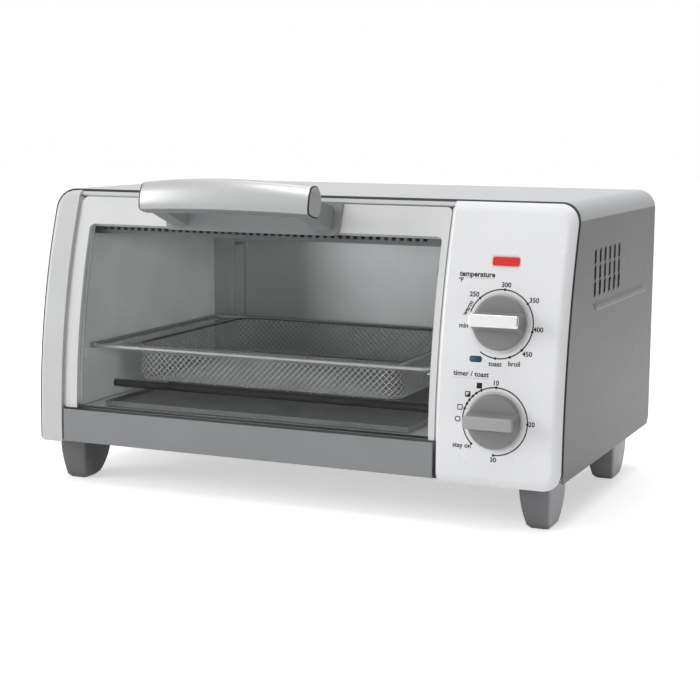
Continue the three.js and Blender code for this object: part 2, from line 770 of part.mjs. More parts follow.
function knobParts() {
  const back = -frameProud - 0.8;
  const front = back - knobThickness;
  const tip = -frameProud - gripReach;
  const disc = rodY(knobRadius, [front, back], 0, 0, 36);
  const root = box([-gripLength / 2 + 1, gripLength / 2 - 1], [tip + 3, front + 0.5],
    [-gripThickness / 2 - 1, gripThickness / 2 + 1]);
  const trimmedRoot = root.intersect(rodY(knobRadius - 0.6, [tip, front + 1], 0, 0, 36));
  const socket = rodY(spindleRadius + gap, [front - 4, back + 1], 0, 0);
  const capOutline = roundedRect([-gripLength / 2, gripLength / 2],
    [-gripThickness / 2, gripThickness / 2], [2, 2, 2, 2]);
  return {
    knob: cut(join(disc, trimmedRoot), socket),
    cap: alongY(capOutline, [tip, tip + 3 - gap]),
    spindle: rodY(spindleRadius, [front - 3.6, switchFront + 5.5], 0, 0),
  };
}

const upperControl = controlGroup(upperKnobHeight);
const lowerControl = controlGroup(lowerKnobHeight);
for (const [name, group, gripMaterial] of [
  ['temperature', upperControl, chrome],
  ['timer', lowerControl, greyPlastic],
]) {
  const { knob, cap, spindle } = knobParts();
  add(`${name}_knob`, knob, greyPlastic, group);
  add(`${name}_grip_cap`, cap, gripMaterial, group);
  add(`${name}_spindle`, spindle, steel, group);
}
add('thermostat', switchCase(34, 24, 26), blackPlastic, upperControl);
add('timer', switchCase(timerCase, timerCase, timerDepth), steel, lowerControl);

// The timer strikes this bell when it runs out.
const bell = new THREE.LatheGeometry([
  new THREE.Vector2(0, 0),
  new THREE.Vector2(10, 0.6),
  new THREE.Vector2(15, 5),
  new THREE.Vector2(16, 9),
  new THREE.Vector2(14.8, 9),
  new THREE.Vector2(13.8, 5.6),
  new THREE.Vector2(9.4, 1.9),
  new THREE.Vector2(0, 1.3),
], 24);
bell.rotateX(Math.PI);
bell.translate(0, switchFront + timerDepth + gap + 9, 0);
add('timer_bell', solid(bell), steel, lowerControl);

// ---- Lamp: red lens in the panel, holder behind it --------------------------------------------------
function lampLens() {
  const edge = gap;
  const lens = frontSlab([controlX - lampWidth / 2 + edge, controlX + lampWidth / 2 - edge],
    [-frameProud - 0.8, framePlateSetback],
    [lampZ - lampHeight / 2 + edge, lampZ + lampHeight / 2 - edge]);
  const flange = frontSlab([controlX - lampWidth / 2 - lampFlange, controlX + lampWidth / 2 + lampFlange],
    [panelWall - frameProud + gap, panelWall - frameProud + gap + 1],
    [lampZ - lampHeight / 2 - lampFlange, lampZ + lampHeight / 2 + lampFlange]);
  return join(lens, flange);
}

add('lamp_lens', lampLens(), redLens);
add('lamp_holder', frontSlab([controlX - 7, controlX + 7],
  [plateBack + gap, plateBack + 16], [lampZ - 6, lampZ + 6]), blackPlastic);

// ---- Door --------------------------------------------------------------------------------------------
const door = new THREE.Group();
oven.add(door);
const doorBack = doorDepth - doorProud;
const glassFront = glassRecess - doorProud;
const glassBack = glassFront + glassThickness;

const handleScrewX = [doorMiddle - 55, doorMiddle + 55];
const handleScrewZ = glassTop + 13;
const screwHead = 2.8;
const screwHeadHeight = 1.8;
const screwShank = 1.2;

function doorFrame() {
  const x = [doorLeft, doorRight];
  const z = [doorBottom, doorTop];
  const outline = roundedRect(x, z, [1, 1, 4, 5]);
  const body = frontSlab(x, [-doorProud, doorBack], z).intersect(through(outline));
  const opening = frontSlab([glassLeft, glassRight], [-20, glassBack + gap], [0, glassTop]);
  const sight = frontSlab([glassLeft + glassLip, glassRight - glassLip], [-20, 20],
    [0, glassTop - glassLip]);
  const rounded = through(roundedRect([glassLeft, glassRight], [0, glassTop], [0, 0, 4, 4]));
  const screwSeats = handleScrewX.map((place) => join(
    frontRod(screwHead + gap, [doorBack - screwHeadHeight - gap, doorBack + 5], place, handleScrewZ, 12),
    frontRod(screwShank + gap, [-10, doorBack], place, handleScrewZ, 12),
  ));
  return cut(body, opening.intersect(rounded), sight, ...screwSeats,
    rodX(hingeHoleRadius, [-half, half], hingeSetback, hingeHeight));
}

add('door_frame', doorFrame(), silverPaint, door);

const glassOutline = roundedRect([glassLeft + gap, glassRight - gap],
  [doorBottom + 0.5, glassTop - gap], [0, 0, 4, 4]);
const pane = frontSlab([glassLeft, glassRight], [glassFront, glassBack], [doorBottom, glassTop]);
add('door_glass', pane.intersect(through(glassOutline)), glassTint, door);

add('door_hinge_pin_left', rodX(hingePinRadius,
  [doorLeft - doorGap - pinReach, glassLeft - 1], hingeSetback, hingeHeight, 12), steel, door);
add('door_hinge_pin_right', rodX(hingePinRadius,
  [glassRight + 1, panelLeft + panelWall + gap + postWidth], hingeSetback, hingeHeight, 12), steel, door);

// Handle: curved bar between two end caps, on a bracket screwed to the door's band.
const handleRise = 3.1;                            // the bar's middle, over the door's top edge
const handleHeight = doorTop + handleRise;
const handleReach = 45.5;                          // the bar's middle, in front of the door
const handleDepthHalf = 10;
const handleHeightHalf = 11.3;
const handleBow = 5;
const handleArch = 2.6;
const handleSwell = 1.2;
const handleCap = 2;
const handleSides = 20;
const handleStations = 10;

function handleRing(x, clearance) {
  const share = (x - doorMiddle) / (handleLength / 2);
  const rise = 1 - share ** 2;
  const y = frontY(handleHeight) - handleReach - handleBow * rise;
  const z = handleHeight + handleArch * rise;
  const ring = [];
  for (let i = 0; i < handleSides; i += 1) {
    const angle = (i / handleSides) * Math.PI * 2;
    const b = handleHeightHalf + handleSwell * rise + clearance;
    const a = handleDepthHalf + clearance;
    ring.push(new THREE.Vector3(x, y + a * Math.cos(angle), z + b * Math.sin(angle)));
  }
  return ring;
}

function handleSweep([xLow, xHigh], steps, clearance = 0) {
  const rings = [];
  for (let i = 0; i <= steps; i += 1) {
    rings.push(handleRing(xLow + ((xHigh - xLow) * i) / steps, clearance));
  }
  return loft(rings);
}

const handleLeft = doorMiddle - handleLength / 2;
const handleRight = doorMiddle + handleLength / 2;
add('handle_bar',
  handleSweep([handleLeft + handleCap, handleRight - handleCap], handleStations), silverPaint, door);
add('handle_end_cap_left', handleSweep([handleLeft, handleLeft + handleCap], 1), greyPlastic, door);
add('handle_end_cap_right', handleSweep([handleRight - handleCap, handleRight], 1), greyPlastic, door);

const bracketThickness = 3.2;
const bracketBottom = glassTop - 2;
const bracketTop = doorTop + 0.8;
const armWidth = 13;
const armInset = 5;

function handleBracket() {
  const x = [doorMiddle - handleLength / 2 - 2, doorMiddle + handleLength / 2 + 2];
  const z = [bracketBottom, bracketTop];
  const near = -doorProud - gap - bracketThickness;
  const plate = frontSlab(x, [near, -doorProud - gap], z)
    .intersect(through(roundedRect(x, z, [5, 5, 1.5, 1.5])));
  const plateY = frontY(bracketBottom) + near;
  const barY = frontY(handleHeight) - handleReach;
  const arm = [
    new THREE.Vector2(plateY + bracketThickness, bracketBottom + 3),
    new THREE.Vector2(barY + 2, handleHeight - handleHeightHalf + 1),
    new THREE.Vector2(barY - 2, handleHeight + 4),
    new THREE.Vector2(plateY + bracketThickness + 1, bracketTop - 3),
  ];
  const arms = join(
    alongX(arm, [x[0] + armInset, x[0] + armInset + armWidth]),
    alongX(arm, [x[1] - armInset - armWidth, x[1] - armInset]),
  );
  const bar = handleSweep([handleLeft - 1, handleRight + 1], handleStations, gap);
  const clearOfDoor = frontSlab(x, [-60, -doorProud - gap], [bracketBottom - 20, bodyHeight + 20]);
  const pilots = handleScrewX.map((place) =>
    frontRod(screwShank + gap, [near + 1, 10], place, handleScrewZ, 12));
  return cut(join(plate, cut(arms, bar).intersect(clearOfDoor)), ...pilots);
}

add('handle_bracket', handleBracket(), darkPlastic, door);

['left', 'right'].forEach((name, index) => {
  const x = handleScrewX[index];
  const headFront = doorBack - screwHeadHeight;
  const head = frontRod(screwHead, [headFront, doorBack], x, handleScrewZ, 12);
  const shank = frontRod(screwShank, [-doorProud - 2.5, headFront + 0.5], x, handleScrewZ, 12);
  add(`handle_screw_${name}`, join(head, shank), steel, door);
});

// ---- Air-fry basket: rim wire frame with a mesh pan hung in it ------------------------------------------
const basket = new THREE.Group();
oven.add(basket);

function basketRim() {
  const x = [rimLeft, rimRight];
  const y = [basketSetback, basketBack];
  const ring = roundedRect(x, y, [6, 6, 6, 6]);
  const w = basketWire;
  const hole = roundedRect([x[0] + w, x[1] - w], [y[0] + w, y[1] - w], [3, 3, 3, 3]);
  const z = [basketRimHeight - w / 2, basketRimHeight + w / 2];
  const frame = cut(alongZ(ring, z), alongZ(hole, [z[0] - 1, z[1] + 1]));
  const bars = [x[0] + panMarginX - w, x[1] - panMarginX].map((left) =>
    box([left, left + w], [y[0] + w / 2, y[1] - w / 2], z));
  return join(frame, ...bars);
}

function basketPan() {
  const x = [rimLeft + panMarginX + gap, rimRight - panMarginX - gap];
  const y = [basketSetback + panMarginY, basketBack - basketWire - gap];
  const top = basketRimHeight + basketWire / 2;
  const outside = alongZ(roundedRect(x, y, [10, 10, 10, 10]), [basketPanBottom, top]);
  const w = panWall;
  const inside = alongZ(roundedRect([x[0] + w, x[1] - w], [y[0] + w, y[1] - w], [9, 9, 9, 9]),
    [basketPanBottom + w, top + 1]);
  return cut(outside, inside);
}

add('basket_rim', basketRim(), wireSteel, basket);
add('basket_pan', basketPan(), wireSteel, basket);

// ---- Crumb tray: shallow pan drawn out at the back ----------------------------------------------------------
function crumbTray() {
  const x = [trayLeft, trayRight];
  const y = [plateBack + 12, bodyDepth + 0.6];
  const z = [trayBottom, trayBottom + trayLip];
  const hollow = box([x[0] + 1, x[1] - 1], [y[0] + 1, y[1] + 5], [z[0] + 1, z[1] + 1]);
  const pull = box([x[0] - 4, x[1] + 4], [y[1] - 0.6, y[1] + 1.4], [z[0] - 4, z[1] + 7]);
  return join(cut(box(x, y, z), hollow), pull);
}

add('crumb_tray', crumbTray(), steel);

// ---- The part's origin: on the table, under the middle of the object -------------------------------------------
const handleFront = frontY(handleHeight) - handleReach - handleBow - handleDepthHalf;
const objectBack = bodyDepth + spacerDepth;
oven.position.set(0, -(handleFront + objectBack) / 2, footHeight);

const group = new THREE.Group();
group.add(oven);

export default group;
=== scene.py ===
"""A countertop toaster oven: the look of each piece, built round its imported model."""
import math

import bmesh
import bpy
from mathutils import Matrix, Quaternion, Vector


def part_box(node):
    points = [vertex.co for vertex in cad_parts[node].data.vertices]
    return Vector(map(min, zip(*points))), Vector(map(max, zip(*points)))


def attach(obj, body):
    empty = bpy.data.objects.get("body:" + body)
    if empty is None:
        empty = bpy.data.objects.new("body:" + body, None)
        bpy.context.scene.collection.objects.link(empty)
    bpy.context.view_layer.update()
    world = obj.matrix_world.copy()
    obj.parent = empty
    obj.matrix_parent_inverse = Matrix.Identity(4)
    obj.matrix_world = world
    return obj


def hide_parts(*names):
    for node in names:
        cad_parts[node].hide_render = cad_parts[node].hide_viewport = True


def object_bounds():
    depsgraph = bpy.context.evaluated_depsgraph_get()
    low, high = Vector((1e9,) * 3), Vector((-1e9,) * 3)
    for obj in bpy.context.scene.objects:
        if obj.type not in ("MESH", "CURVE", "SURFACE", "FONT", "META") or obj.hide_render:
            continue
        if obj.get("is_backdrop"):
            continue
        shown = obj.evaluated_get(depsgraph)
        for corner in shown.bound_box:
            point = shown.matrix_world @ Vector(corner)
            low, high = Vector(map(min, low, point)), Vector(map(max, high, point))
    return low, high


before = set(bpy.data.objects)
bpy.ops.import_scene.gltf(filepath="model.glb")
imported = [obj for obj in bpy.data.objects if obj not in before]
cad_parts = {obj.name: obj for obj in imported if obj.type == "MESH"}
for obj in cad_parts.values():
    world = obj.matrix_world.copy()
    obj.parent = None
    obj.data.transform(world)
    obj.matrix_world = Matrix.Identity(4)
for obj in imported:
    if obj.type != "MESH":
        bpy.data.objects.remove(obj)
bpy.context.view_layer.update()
mm = 0.001

# ---- Camera and studio ------------------------------------------------------------------------
# A long lens a little above the oven and to its right, a pale floor, and an even white room that
# is dimmer on the oven's right. One broad soft lamp hangs overhead, and a stronger one stands far
# out in front, to the left.
camera_data = bpy.data.cameras.new("camera")
camera_data.lens = 82.15
camera = bpy.data.objects.new("camera", camera_data)
bpy.context.collection.objects.link(camera)
camera_azimuth = math.radians(23.719)
camera_elevation = math.radians(8.362)
camera_roll = math.radians(0.345)
camera_distance = 1.1915
camera_target = Vector((0.02424, -0.04831, 0.10590))
towards_camera = Vector((
    math.sin(camera_azimuth) * math.cos(camera_elevation),
    -math.cos(camera_azimuth) * math.cos(camera_elevation),
    math.sin(camera_elevation),
))
camera.location = camera_target + towards_camera * camera_distance
camera.rotation_mode = "QUATERNION"
facing = (-towards_camera).to_track_quat("-Z", "Y")
camera.rotation_quaternion = facing @ Quaternion((0, 0, 1), camera_roll)
bpy.context.scene.camera = camera
bpy.context.scene.view_settings.view_transform = "Standard"


def connect(tree, node, inputs):
    """Gives each named input of a node its value, or another node's output."""
    for key, value in inputs.items():
        if isinstance(value, bpy.types.NodeSocket):
            tree.links.new(value, node.inputs[key])
        else:
            node.inputs[key].default_value = value
    return node


def add_node(tree, kind, inputs, **settings):
    """A new shader node with its inputs connected."""
    fresh = tree.nodes.new("ShaderNode" + kind)
    for key, value in settings.items():
        setattr(fresh, key, value)
    return connect(tree, fresh, inputs)


room = bpy.data.worlds.new("studio")
room.use_nodes = True
bpy.context.scene.world = room
room_tree = room.node_tree
directions = add_node(room_tree, "TexCoord", {}).outputs["Generated"]
sideways = add_node(room_tree, "SeparateXYZ", {0: directions}).outputs["X"]
across_room = add_node(room_tree, "MapRange", {"Value": sideways, "From Min": -1}).outputs[0]
room_dimming = add_node(room_tree, "ValToRGB", {"Fac": across_room})
room_dimming.color_ramp.interpolation = "EASE"
room_stops = room_dimming.color_ramp.elements
room_stops[0].color = (0.5, 0.5, 0.5, 1)
room_stops[1].color = (0.08, 0.08, 0.08, 1)
for stop in (0.2, 0.54):
    room_stops.new(stop).color = (0.87, 0.87, 0.87, 1)
room_stops[-1].position = 0.84
seen_directly = add_node(room_tree, "LightPath", {}).outputs["Is Camera Ray"]
room_strength = add_node(room_tree, "Mix", {
    "Factor": seen_directly, "A": room_dimming.outputs[0], "B": 1.0}).outputs[0]
connect(room_tree, room_tree.nodes["Background"],
        {"Color": (1, 1, 1, 1), "Strength": room_strength})


def studio_lamp(name, place, aim, size, watts):
    lamp = bpy.data.lights.new(name, "AREA")
    lamp.shape = "RECTANGLE"
    lamp.size, lamp.size_y = size
    lamp.energy = watts
    holder = bpy.data.objects.new(name, lamp)
    holder.location = place
    holder.rotation_mode = "QUATERNION"
    holder.rotation_quaternion = (Vector(aim) - Vector(place)).to_track_quat("-Z", "Y")
    bpy.context.collection.objects.link(holder)
    return holder


studio_lamp("overhead_lamp", (0.1, 0.15, 1.3), (0.05, 0.05, 0.1), (1.4, 0.9), 8)
studio_lamp("front_lamp", (-3.4, -2.1, 1.2), (0.0, -0.1, 0.12), (1.7, 1.7), 58)

floor_mesh = bpy.data.meshes.new("studio_floor")
floor_half = 6
floor_mesh.from_pydata([(-floor_half, -floor_half, 0), (floor_half, -floor_half, 0),
                        (floor_half, floor_half, 0), (-floor_half, floor_half, 0)], [],
                       [(0, 1, 2, 3)])
floor = bpy.data.objects.new("studio_floor", floor_mesh)
bpy.context.collection.objects.link(floor)


def new_material(name):
    """A material, its node tree and its shader."""
    material = bpy.data.materials.new(name)
    material.use_nodes = True
    return material, material.node_tree, material.node_tree.nodes["Principled BSDF"]


floor_material, floor_tree, floor_shader = new_material("pale_floor")
floor_seen = add_node(floor_tree, "LightPath", {}).outputs["Is Camera Ray"]
floor_glow = add_node(floor_tree, "MapRange", {
    "Value": floor_seen, "To Min": 0.12, "To Max": 0.5}).outputs[0]
connect(floor_tree, floor_shader, {
    "Base Color": (0.86, 0.86, 0.86, 1), "Roughness": 0.9, "Emission Color": (1, 1, 1, 1),
    "Emission Strength": floor_glow})
floor_mesh.materials.append(floor_material)
floor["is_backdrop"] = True

# ---- Outer wrapper ----------------------------------------------------------------------------
# One sheet of 1 mm steel folded over the sides and the roof, in baked grey enamel, with painted
# light on
# the roof: the roof and its rounds are painted paler than the sides. The right side has six columns
# of pressed louvre slots, and both sides a pressed rib.
seam_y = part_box("outer_wrapper")[0].y           # the wrapper's front edge, at its foot
body_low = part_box("front_frame")[0].z           # underside of the front
half_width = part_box("control_panel")[1].x
roof_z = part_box("outer_wrapper")[1].z
back_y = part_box("outer_wrapper")[1].y
front_radius = 500 * mm
front_upright = body_low + 15 * mm              # below this the front stands upright
corner_radius = 14 * mm
sheet = 1 * mm
painted_roof_light_gain = 4.4                                 # painted light: how much paler the roof is painted than the sides


def paint_roof_light(material, level, gain):
    """Painted light above a height: the roof and its rounds are painted a paler grey than the sides,
    for the light that falls on them from above.
    """
    tree = material.node_tree
    tint_scale = tree.nodes["tint"].inputs["Scale"]
    place = add_node(tree, "TexCoord", {}).outputs["Object"]
    height = add_node(tree, "SeparateXYZ", {0: place}).outputs["Z"]
    above = add_node(tree, "MapRange", {
        "Value": height, "From Min": level - 0.5 * mm, "From Max": level + 0.5 * mm,
        "To Min": 1, "To Max": gain}).outputs[0]
    raised = add_node(tree, "Math", {0: tint_scale.links[0].from_socket, 1: above},
                      operation="MULTIPLY")
    tree.links.new(raised.outputs[0], tint_scale)


def front_y(z):
    """How far back the front's seam lies at a height."""
    rise = max(0.0, z - front_upright)
    return seam_y + front_radius - math.sqrt(front_radius ** 2 - rise ** 2)


def soft_step(value):
    share = min(max(value, 0.0), 1.0)
    return share * share * (3 - 2 * share)


def spread(low, high, step):
    """Evenly spaced numbers from low to high, about a step apart."""
    count = max(1, round((high - low) / step))
    return [low + (high - low) * i / count for i in range(count + 1)]


def mesh_of(name, points, faces):
    mesh = bpy.data.meshes.new(name)
    mesh.from_pydata([tuple(point) for point in points], [], faces)
    work = bmesh.new()
    work.from_mesh(mesh)
    bmesh.ops.remove_doubles(work, verts=work.verts, dist=1e-6)
    bmesh.ops.recalc_face_normals(work, faces=work.faces)
    work.to_mesh(mesh)
    work.free()
    return mesh


def piece(name, mesh, body, slot, material, *nodes):
    """A finished piece of the oven: on its body, in its finish, in place of CAD nodes."""
    item = bpy.data.objects.new(name, mesh)
    bpy.context.collection.objects.link(item)
    mesh.materials.clear()
    mesh.materials.append(material)
    mesh.shade_smooth()
    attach(item, body)
    if nodes:
        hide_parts(*nodes)
    return item


def bake_shape(item):
    """Keeps what the modifiers make of a piece as its mesh."""
    graph = bpy.context.evaluated_depsgraph_get()
    shaped = bpy.data.meshes.new_from_object(item.evaluated_get(graph))
    item.modifiers.clear()
    item.data = shaped


def take_away(item, *meshes):
    """Cuts closed meshes out of a piece."""
    for mesh in meshes:
        tool = bpy.data.objects.new("cutter", mesh)
        bpy.context.collection.objects.link(tool)
        cut = item.modifiers.new("cut", "BOOLEAN")
        cut.operation = "DIFFERENCE"
        cut.object = tool
        bake_shape(item)
        bpy.data.objects.remove(tool)


def keep_corners(item, degrees):
    """Shades a piece smooth, but for the corners sharper than an angle."""
    item.data.set_sharp_from_angle(angle=math.radians(degrees))


def round_edges(item, width, segments=3, angle=38):
    """Breaks the sharp edges of a piece with a small round, and keeps its flats flat."""
    bevel = item.modifiers.new("round", "BEVEL")
    bevel.width = width
    bevel.segments = segments
    bevel.limit_method = "ANGLE"
    bevel.angle_limit = math.radians(angle)
    bake_shape(item)
    keep_corners(item, 60)
    even = item.modifiers.new("even", "WEIGHTED_NORMAL")
    even.keep_sharp = True
    even.weight = 90
    bake_shape(item)


def surface(name, colour, roughness, metallic=0.0, fleck=(0.4 * mm, 0.05), cloud=(60 * mm, 0.04),
            peel=(1.2 * mm, 0.01 * mm), coat=0.0, scuff=0.02):
    """A finish: a colour with fine flecks and broad clouding, an uneven gloss and a fine relief.

    Flecks and clouds have a size and a strength, and the relief a size and a depth."""
    material, tree, shader = new_material(name)
    place = add_node(tree, "TexCoord", {}).outputs["Object"]

    def grain(size, detail):
        return add_node(tree, "TexNoise", {
            "Vector": place, "Scale": 1 / size, "Detail": detail}).outputs["Fac"]

    def spread_round(source, middle, amount):
        return add_node(tree, "MapRange", {
            "Value": source, "From Min": 0.25, "From Max": 0.75,
            "To Min": middle - amount, "To Max": middle + amount}).outputs[0]

    flecks = spread_round(grain(fleck[0], 2), 1.0, fleck[1])
    clouds = spread_round(grain(cloud[0], 3), 1.0, cloud[1])
    mottle = add_node(tree, "Math", {0: flecks, 1: clouds}, operation="MULTIPLY").outputs[0]
    tint = add_node(tree, "VectorMath", {0: colour, "Scale": mottle}, operation="SCALE",
                    name="tint").outputs[0]
    smears = spread_round(grain(cloud[0] / 6, 4), roughness, scuff)
    relief = add_node(tree, "Bump", {
        "Height": grain(peel[0], 2), "Distance": peel[1], "Strength": 1.0}).outputs[0]
    connect(tree, shader, {
        "Base Color": tint, "Metallic": metallic, "Roughness": smears, "Coat Weight": coat,
        "Coat Roughness": 0.12, "Normal": relief})
    return material


grey_enamel = surface("grey_enamel", (0.24, 0.245, 0.251), 0.33, coat=0.2,
                      fleck=(0.5 * mm, 0.03), peel=(1.6 * mm, 0.006 * mm))
enamel_with_painted_roof_light = surface("enamel_with_painted_roof_light", (0.098, 0.10, 0.104), 0.3, coat=0.12,
                      fleck=(0.9 * mm, 0.03), peel=(1.6 * mm, 0.006 * mm))
# Painted light: the wrapper's enamel is painted paler on the roof than on the sides.
paint_roof_light(enamel_with_painted_roof_light, roof_z - corner_radius + 1.5 * mm, painted_roof_light_gain)

wrapper_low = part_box("outer_wrapper")[0].z
rib_low = body_low + 114.3 * mm
rib_height = 5.6 * mm
rib_proud = 0.8 * mm
rib_front = seam_y + 64 * mm
rib_back = seam_y + 207 * mm
rib_slant = 14 * mm
rib_shoulder = 1.3 * mm
foot_round = 8 * mm                             # the wrapper's lower back corner
shadow_gap = 0.4 * mm                           # between the wrapper's edge and the front's rim


def rib_rise(y, z):
    """How far the pressed rib lifts the side at a place; its ends are cut on a slant."""
    up = (z - rib_low) / rib_height
    first = rib_front + rib_slant / 2 * (1 - up)
    last = rib_back + rib_slant * (1 - up)
    inside = min(z - rib_low, rib_low + rib_height - z, y - first, last - y)
    return rib_proud * soft_step(inside / rib_shoulder)


def wrapper_back(z):
    drop = max(0.0, foot_round - (z - wrapper_low))
    return back_y - foot_round + math.sqrt(foot_round ** 2 - drop ** 2)


rib_lines = [rib_low + rib_height * share for share in
             (-0.3, 0, 0.08, 0.16, 0.24, 0.36, 0.5, 0.64, 0.76, 0.84, 0.92, 1, 1.3)]
side_lines = sorted(
    spread(wrapper_low, wrapper_low + foot_round, 1 * mm)
    + spread(wrapper_low + foot_round, rib_low - 4 * mm, 6 * mm)[1:]
    + rib_lines
    + spread(rib_low + rib_height + 4 * mm, roof_z - corner_radius, 6 * mm))
corner_steps = 14
right_round = []
for step in range(1, corner_steps):
    turn = math.pi / 2 * step / corner_steps
    right_round.append((half_width - corner_radius * (1 - math.cos(turn)),
                        roof_z - corner_radius * (1 - math.sin(turn))))
wrapper_profile = (
    [(-half_width, z) for z in side_lines] + [(-x, z) for x, z in right_round]
    + [(x, roof_z) for x in spread(corner_radius - half_width, half_width - corner_radius, 12 * mm)]
    + right_round[::-1] + [(half_width, z) for z in reversed(side_lines)])
straight_front = seam_y + 48 * mm               # the lines across the sheet are straight from here
straight_back = back_y - 12 * mm                # to here, and follow its curved edges outside
front_lines = 6
back_lines = 4
depth_lines = (
    spread(straight_front, rib_front - 2 * mm, 6 * mm)
    + spread(rib_front - 1 * mm, rib_front + 10 * mm, 1 * mm)
    + spread(rib_front + 14 * mm, rib_back - 4 * mm, 6 * mm)
    + spread(rib_back - 1 * mm, rib_back + 16 * mm, 1 * mm)
    + [straight_back])
wrapper_points = []
for x, z in wrapper_profile:
    front = front_y(z) + shadow_gap
    row = [front + (straight_front - front) * k / front_lines for k in range(front_lines)]
    row += depth_lines + [straight_back + (wrapper_back(z) - straight_back) * k / back_lines
                          for k in range(1, back_lines + 1)]
    for y in row:
        lift = rib_rise(y, z) if abs(x) == half_width else 0.0
        wrapper_points.append((x + math.copysign(lift, x), y, z))


def grid_faces(rows, columns):
    """The faces of a sheet of points in rows and columns."""
    return [(r * columns + c, r * columns + c + 1, (r + 1) * columns + c + 1, (r + 1) * columns + c)
            for r in range(rows - 1) for c in range(columns - 1)]


def thicken(item, thickness, side):
    """Gives an open sheet its thickness, to one side of it."""
    solid = item.modifiers.new("sheet", "SOLIDIFY")
    solid.thickness = thickness
    solid.offset = side
    bake_shape(item)


wrapper_rows = len(wrapper_profile)
wrapper_faces = grid_faces(wrapper_rows, len(wrapper_points) // wrapper_rows)
wrapper = piece("wrapper_shell", mesh_of("wrapper_shell", wrapper_points, wrapper_faces), "root",
                "grey_paint", enamel_with_painted_roof_light, "outer_wrapper")
thicken(wrapper, sheet, -1 if wrapper.data.polygons[0].normal.x < 0 else 1)

vent_columns = 6
vent_rows = 3
vent_pitch = 13.1 * mm
vent_width = 5.2 * mm
vent_start = seam_y + 65.4 * mm
vent_low = body_low + 124.2 * mm
vent_cell = 9.9 * mm
vent_bridge = 1.4 * mm
vent_slant = 1.8 * mm
vent_reach = 4 * mm                             # how far a slot's cutter goes past the sheet


def prism(outline, along, low, high):
    """A closed prism: an outline drawn across one axis (0 for X, 1 for Y, 2 for Z)."""
    def place(point, depth):
        spot = list(point)
        spot.insert(along, depth)
        return spot
    count = len(outline)
    points = [place(p, low) for p in outline] + [place(p, high) for p in outline]
    faces = [tuple(range(count)), tuple(range(count, 2 * count))]
    faces += [(i, (i + 1) % count, (i + 1) % count + count, i + count) for i in range(count)]
    return mesh_of("prism", points, faces)


def rectangle(left, right, low, high):
    return [(left, low), (right, low), (right, high), (left, high)]


vent_cuts = []
for column in range(vent_columns):
    y = vent_start + column * vent_pitch
    for row in range(vent_rows):
        z = vent_low + row * (vent_cell + vent_bridge)
        slot = [(y, z), (y + vent_width, z + vent_slant),
                (y + vent_width, z + vent_slant + vent_cell), (y, z + vent_cell)]
        vent_cuts.append(prism(slot, 0, half_width - vent_reach, half_width + vent_reach))
take_away(wrapper, *vent_cuts)
round_edges(wrapper, 0.35 * mm, 2)

# A dark sheet behind the slots paints the shade inside them, between them and the works: painted
# shade, not a part of the oven.
painted_shade_board = surface("painted_shade_board", (0.035, 0.035, 0.037), 0.7, fleck=(0.8 * mm, 0.15))
painted_shade_margin = 5 * mm
painted_shade_inner, painted_shade_outer = half_width - 3.4 * mm, half_width - 2.6 * mm
vents_back = vent_start + (vent_columns - 1) * vent_pitch + vent_width
vents_top = vent_low + vent_rows * vent_cell + (vent_rows - 1) * vent_bridge + vent_slant
painted_shade_outline = rectangle(vent_start - painted_shade_margin, vents_back + painted_shade_margin,
                          vent_low - painted_shade_margin, vents_top + 4 * mm)
piece("painted_vent_shade", prism(painted_shade_outline, 0, painted_shade_inner, painted_shade_outer), "root", "black_plastic",
      painted_shade_board)

# ---- Front frame ------------------------------------------------------------------------------
# Pressed steel round the oven's mouth in light silver enamel: a left upright and a thin top rail,
# rounded where they meet the wrapper, over a plate that closes the body behind the door.
silver_enamel = surface("silver_enamel", (0.70, 0.705, 0.71), 0.3, coat=0.3,
                        fleck=(0.35 * mm, 0.05), peel=(1.5 * mm, 0.01 * mm))
frame_proud = 3.4 * mm


def rounded_outline(left, right, low, high, radii, steps=8):
    """A rectangle with its own radius at bottom left, bottom right, top right and top left."""
    bl, br, tr, tl = radii
    corners = [(right - br, low + br, br, -90), (right - tr, high - tr, tr, 0),
               (left + tl, high - tl, tl, 90), (left + bl, low + bl, bl, 180)]
    points = []
    for x, z, radius, start in corners:
        for step in range(steps + 1):
            turn = math.radians(start + 90 * step / steps)
            points.append((x + radius * math.cos(turn), z + radius * math.sin(turn)))
            if radius == 0:
                break
    return points


def front_slab(outline, near, far, across=(), up=4 * mm):
    """A closed slab that follows the front's curve, between two distances behind its seam.

    near may be a function of x and z, for a face that is modelled in relief."""
    work = bmesh.new()
    work.faces.new([work.verts.new((x, 0, z)) for x, z in outline])
    low = min(z for _, z in outline)
    high = max(z for _, z in outline)
    levels = spread(low, high, up)[1:-1] if isinstance(up, float) else up
    for z in levels:
        bmesh.ops.bisect_plane(work, geom=work.verts[:] + work.edges[:] + work.faces[:],
                               plane_co=(0, 0, z), plane_no=(0, 0, 1))
    for x in across:
        bmesh.ops.bisect_plane(work, geom=work.verts[:] + work.edges[:] + work.faces[:],
                               plane_co=(x, 0, 0), plane_no=(1, 0, 0))
    grown = bmesh.ops.extrude_face_region(work, geom=work.faces[:])["geom"]
    behind = {item for item in grown if isinstance(item, bmesh.types.BMVert)}
    for point in work.verts:
        offset = near(point.co.x, point.co.z) if callable(near) else near
        point.co.y = front_y(point.co.z) + (far if point in behind else offset)
    bmesh.ops.recalc_face_normals(work, faces=work.faces)
    mesh = bpy.data.meshes.new("slab")
    work.to_mesh(mesh)
    work.free()
    return mesh


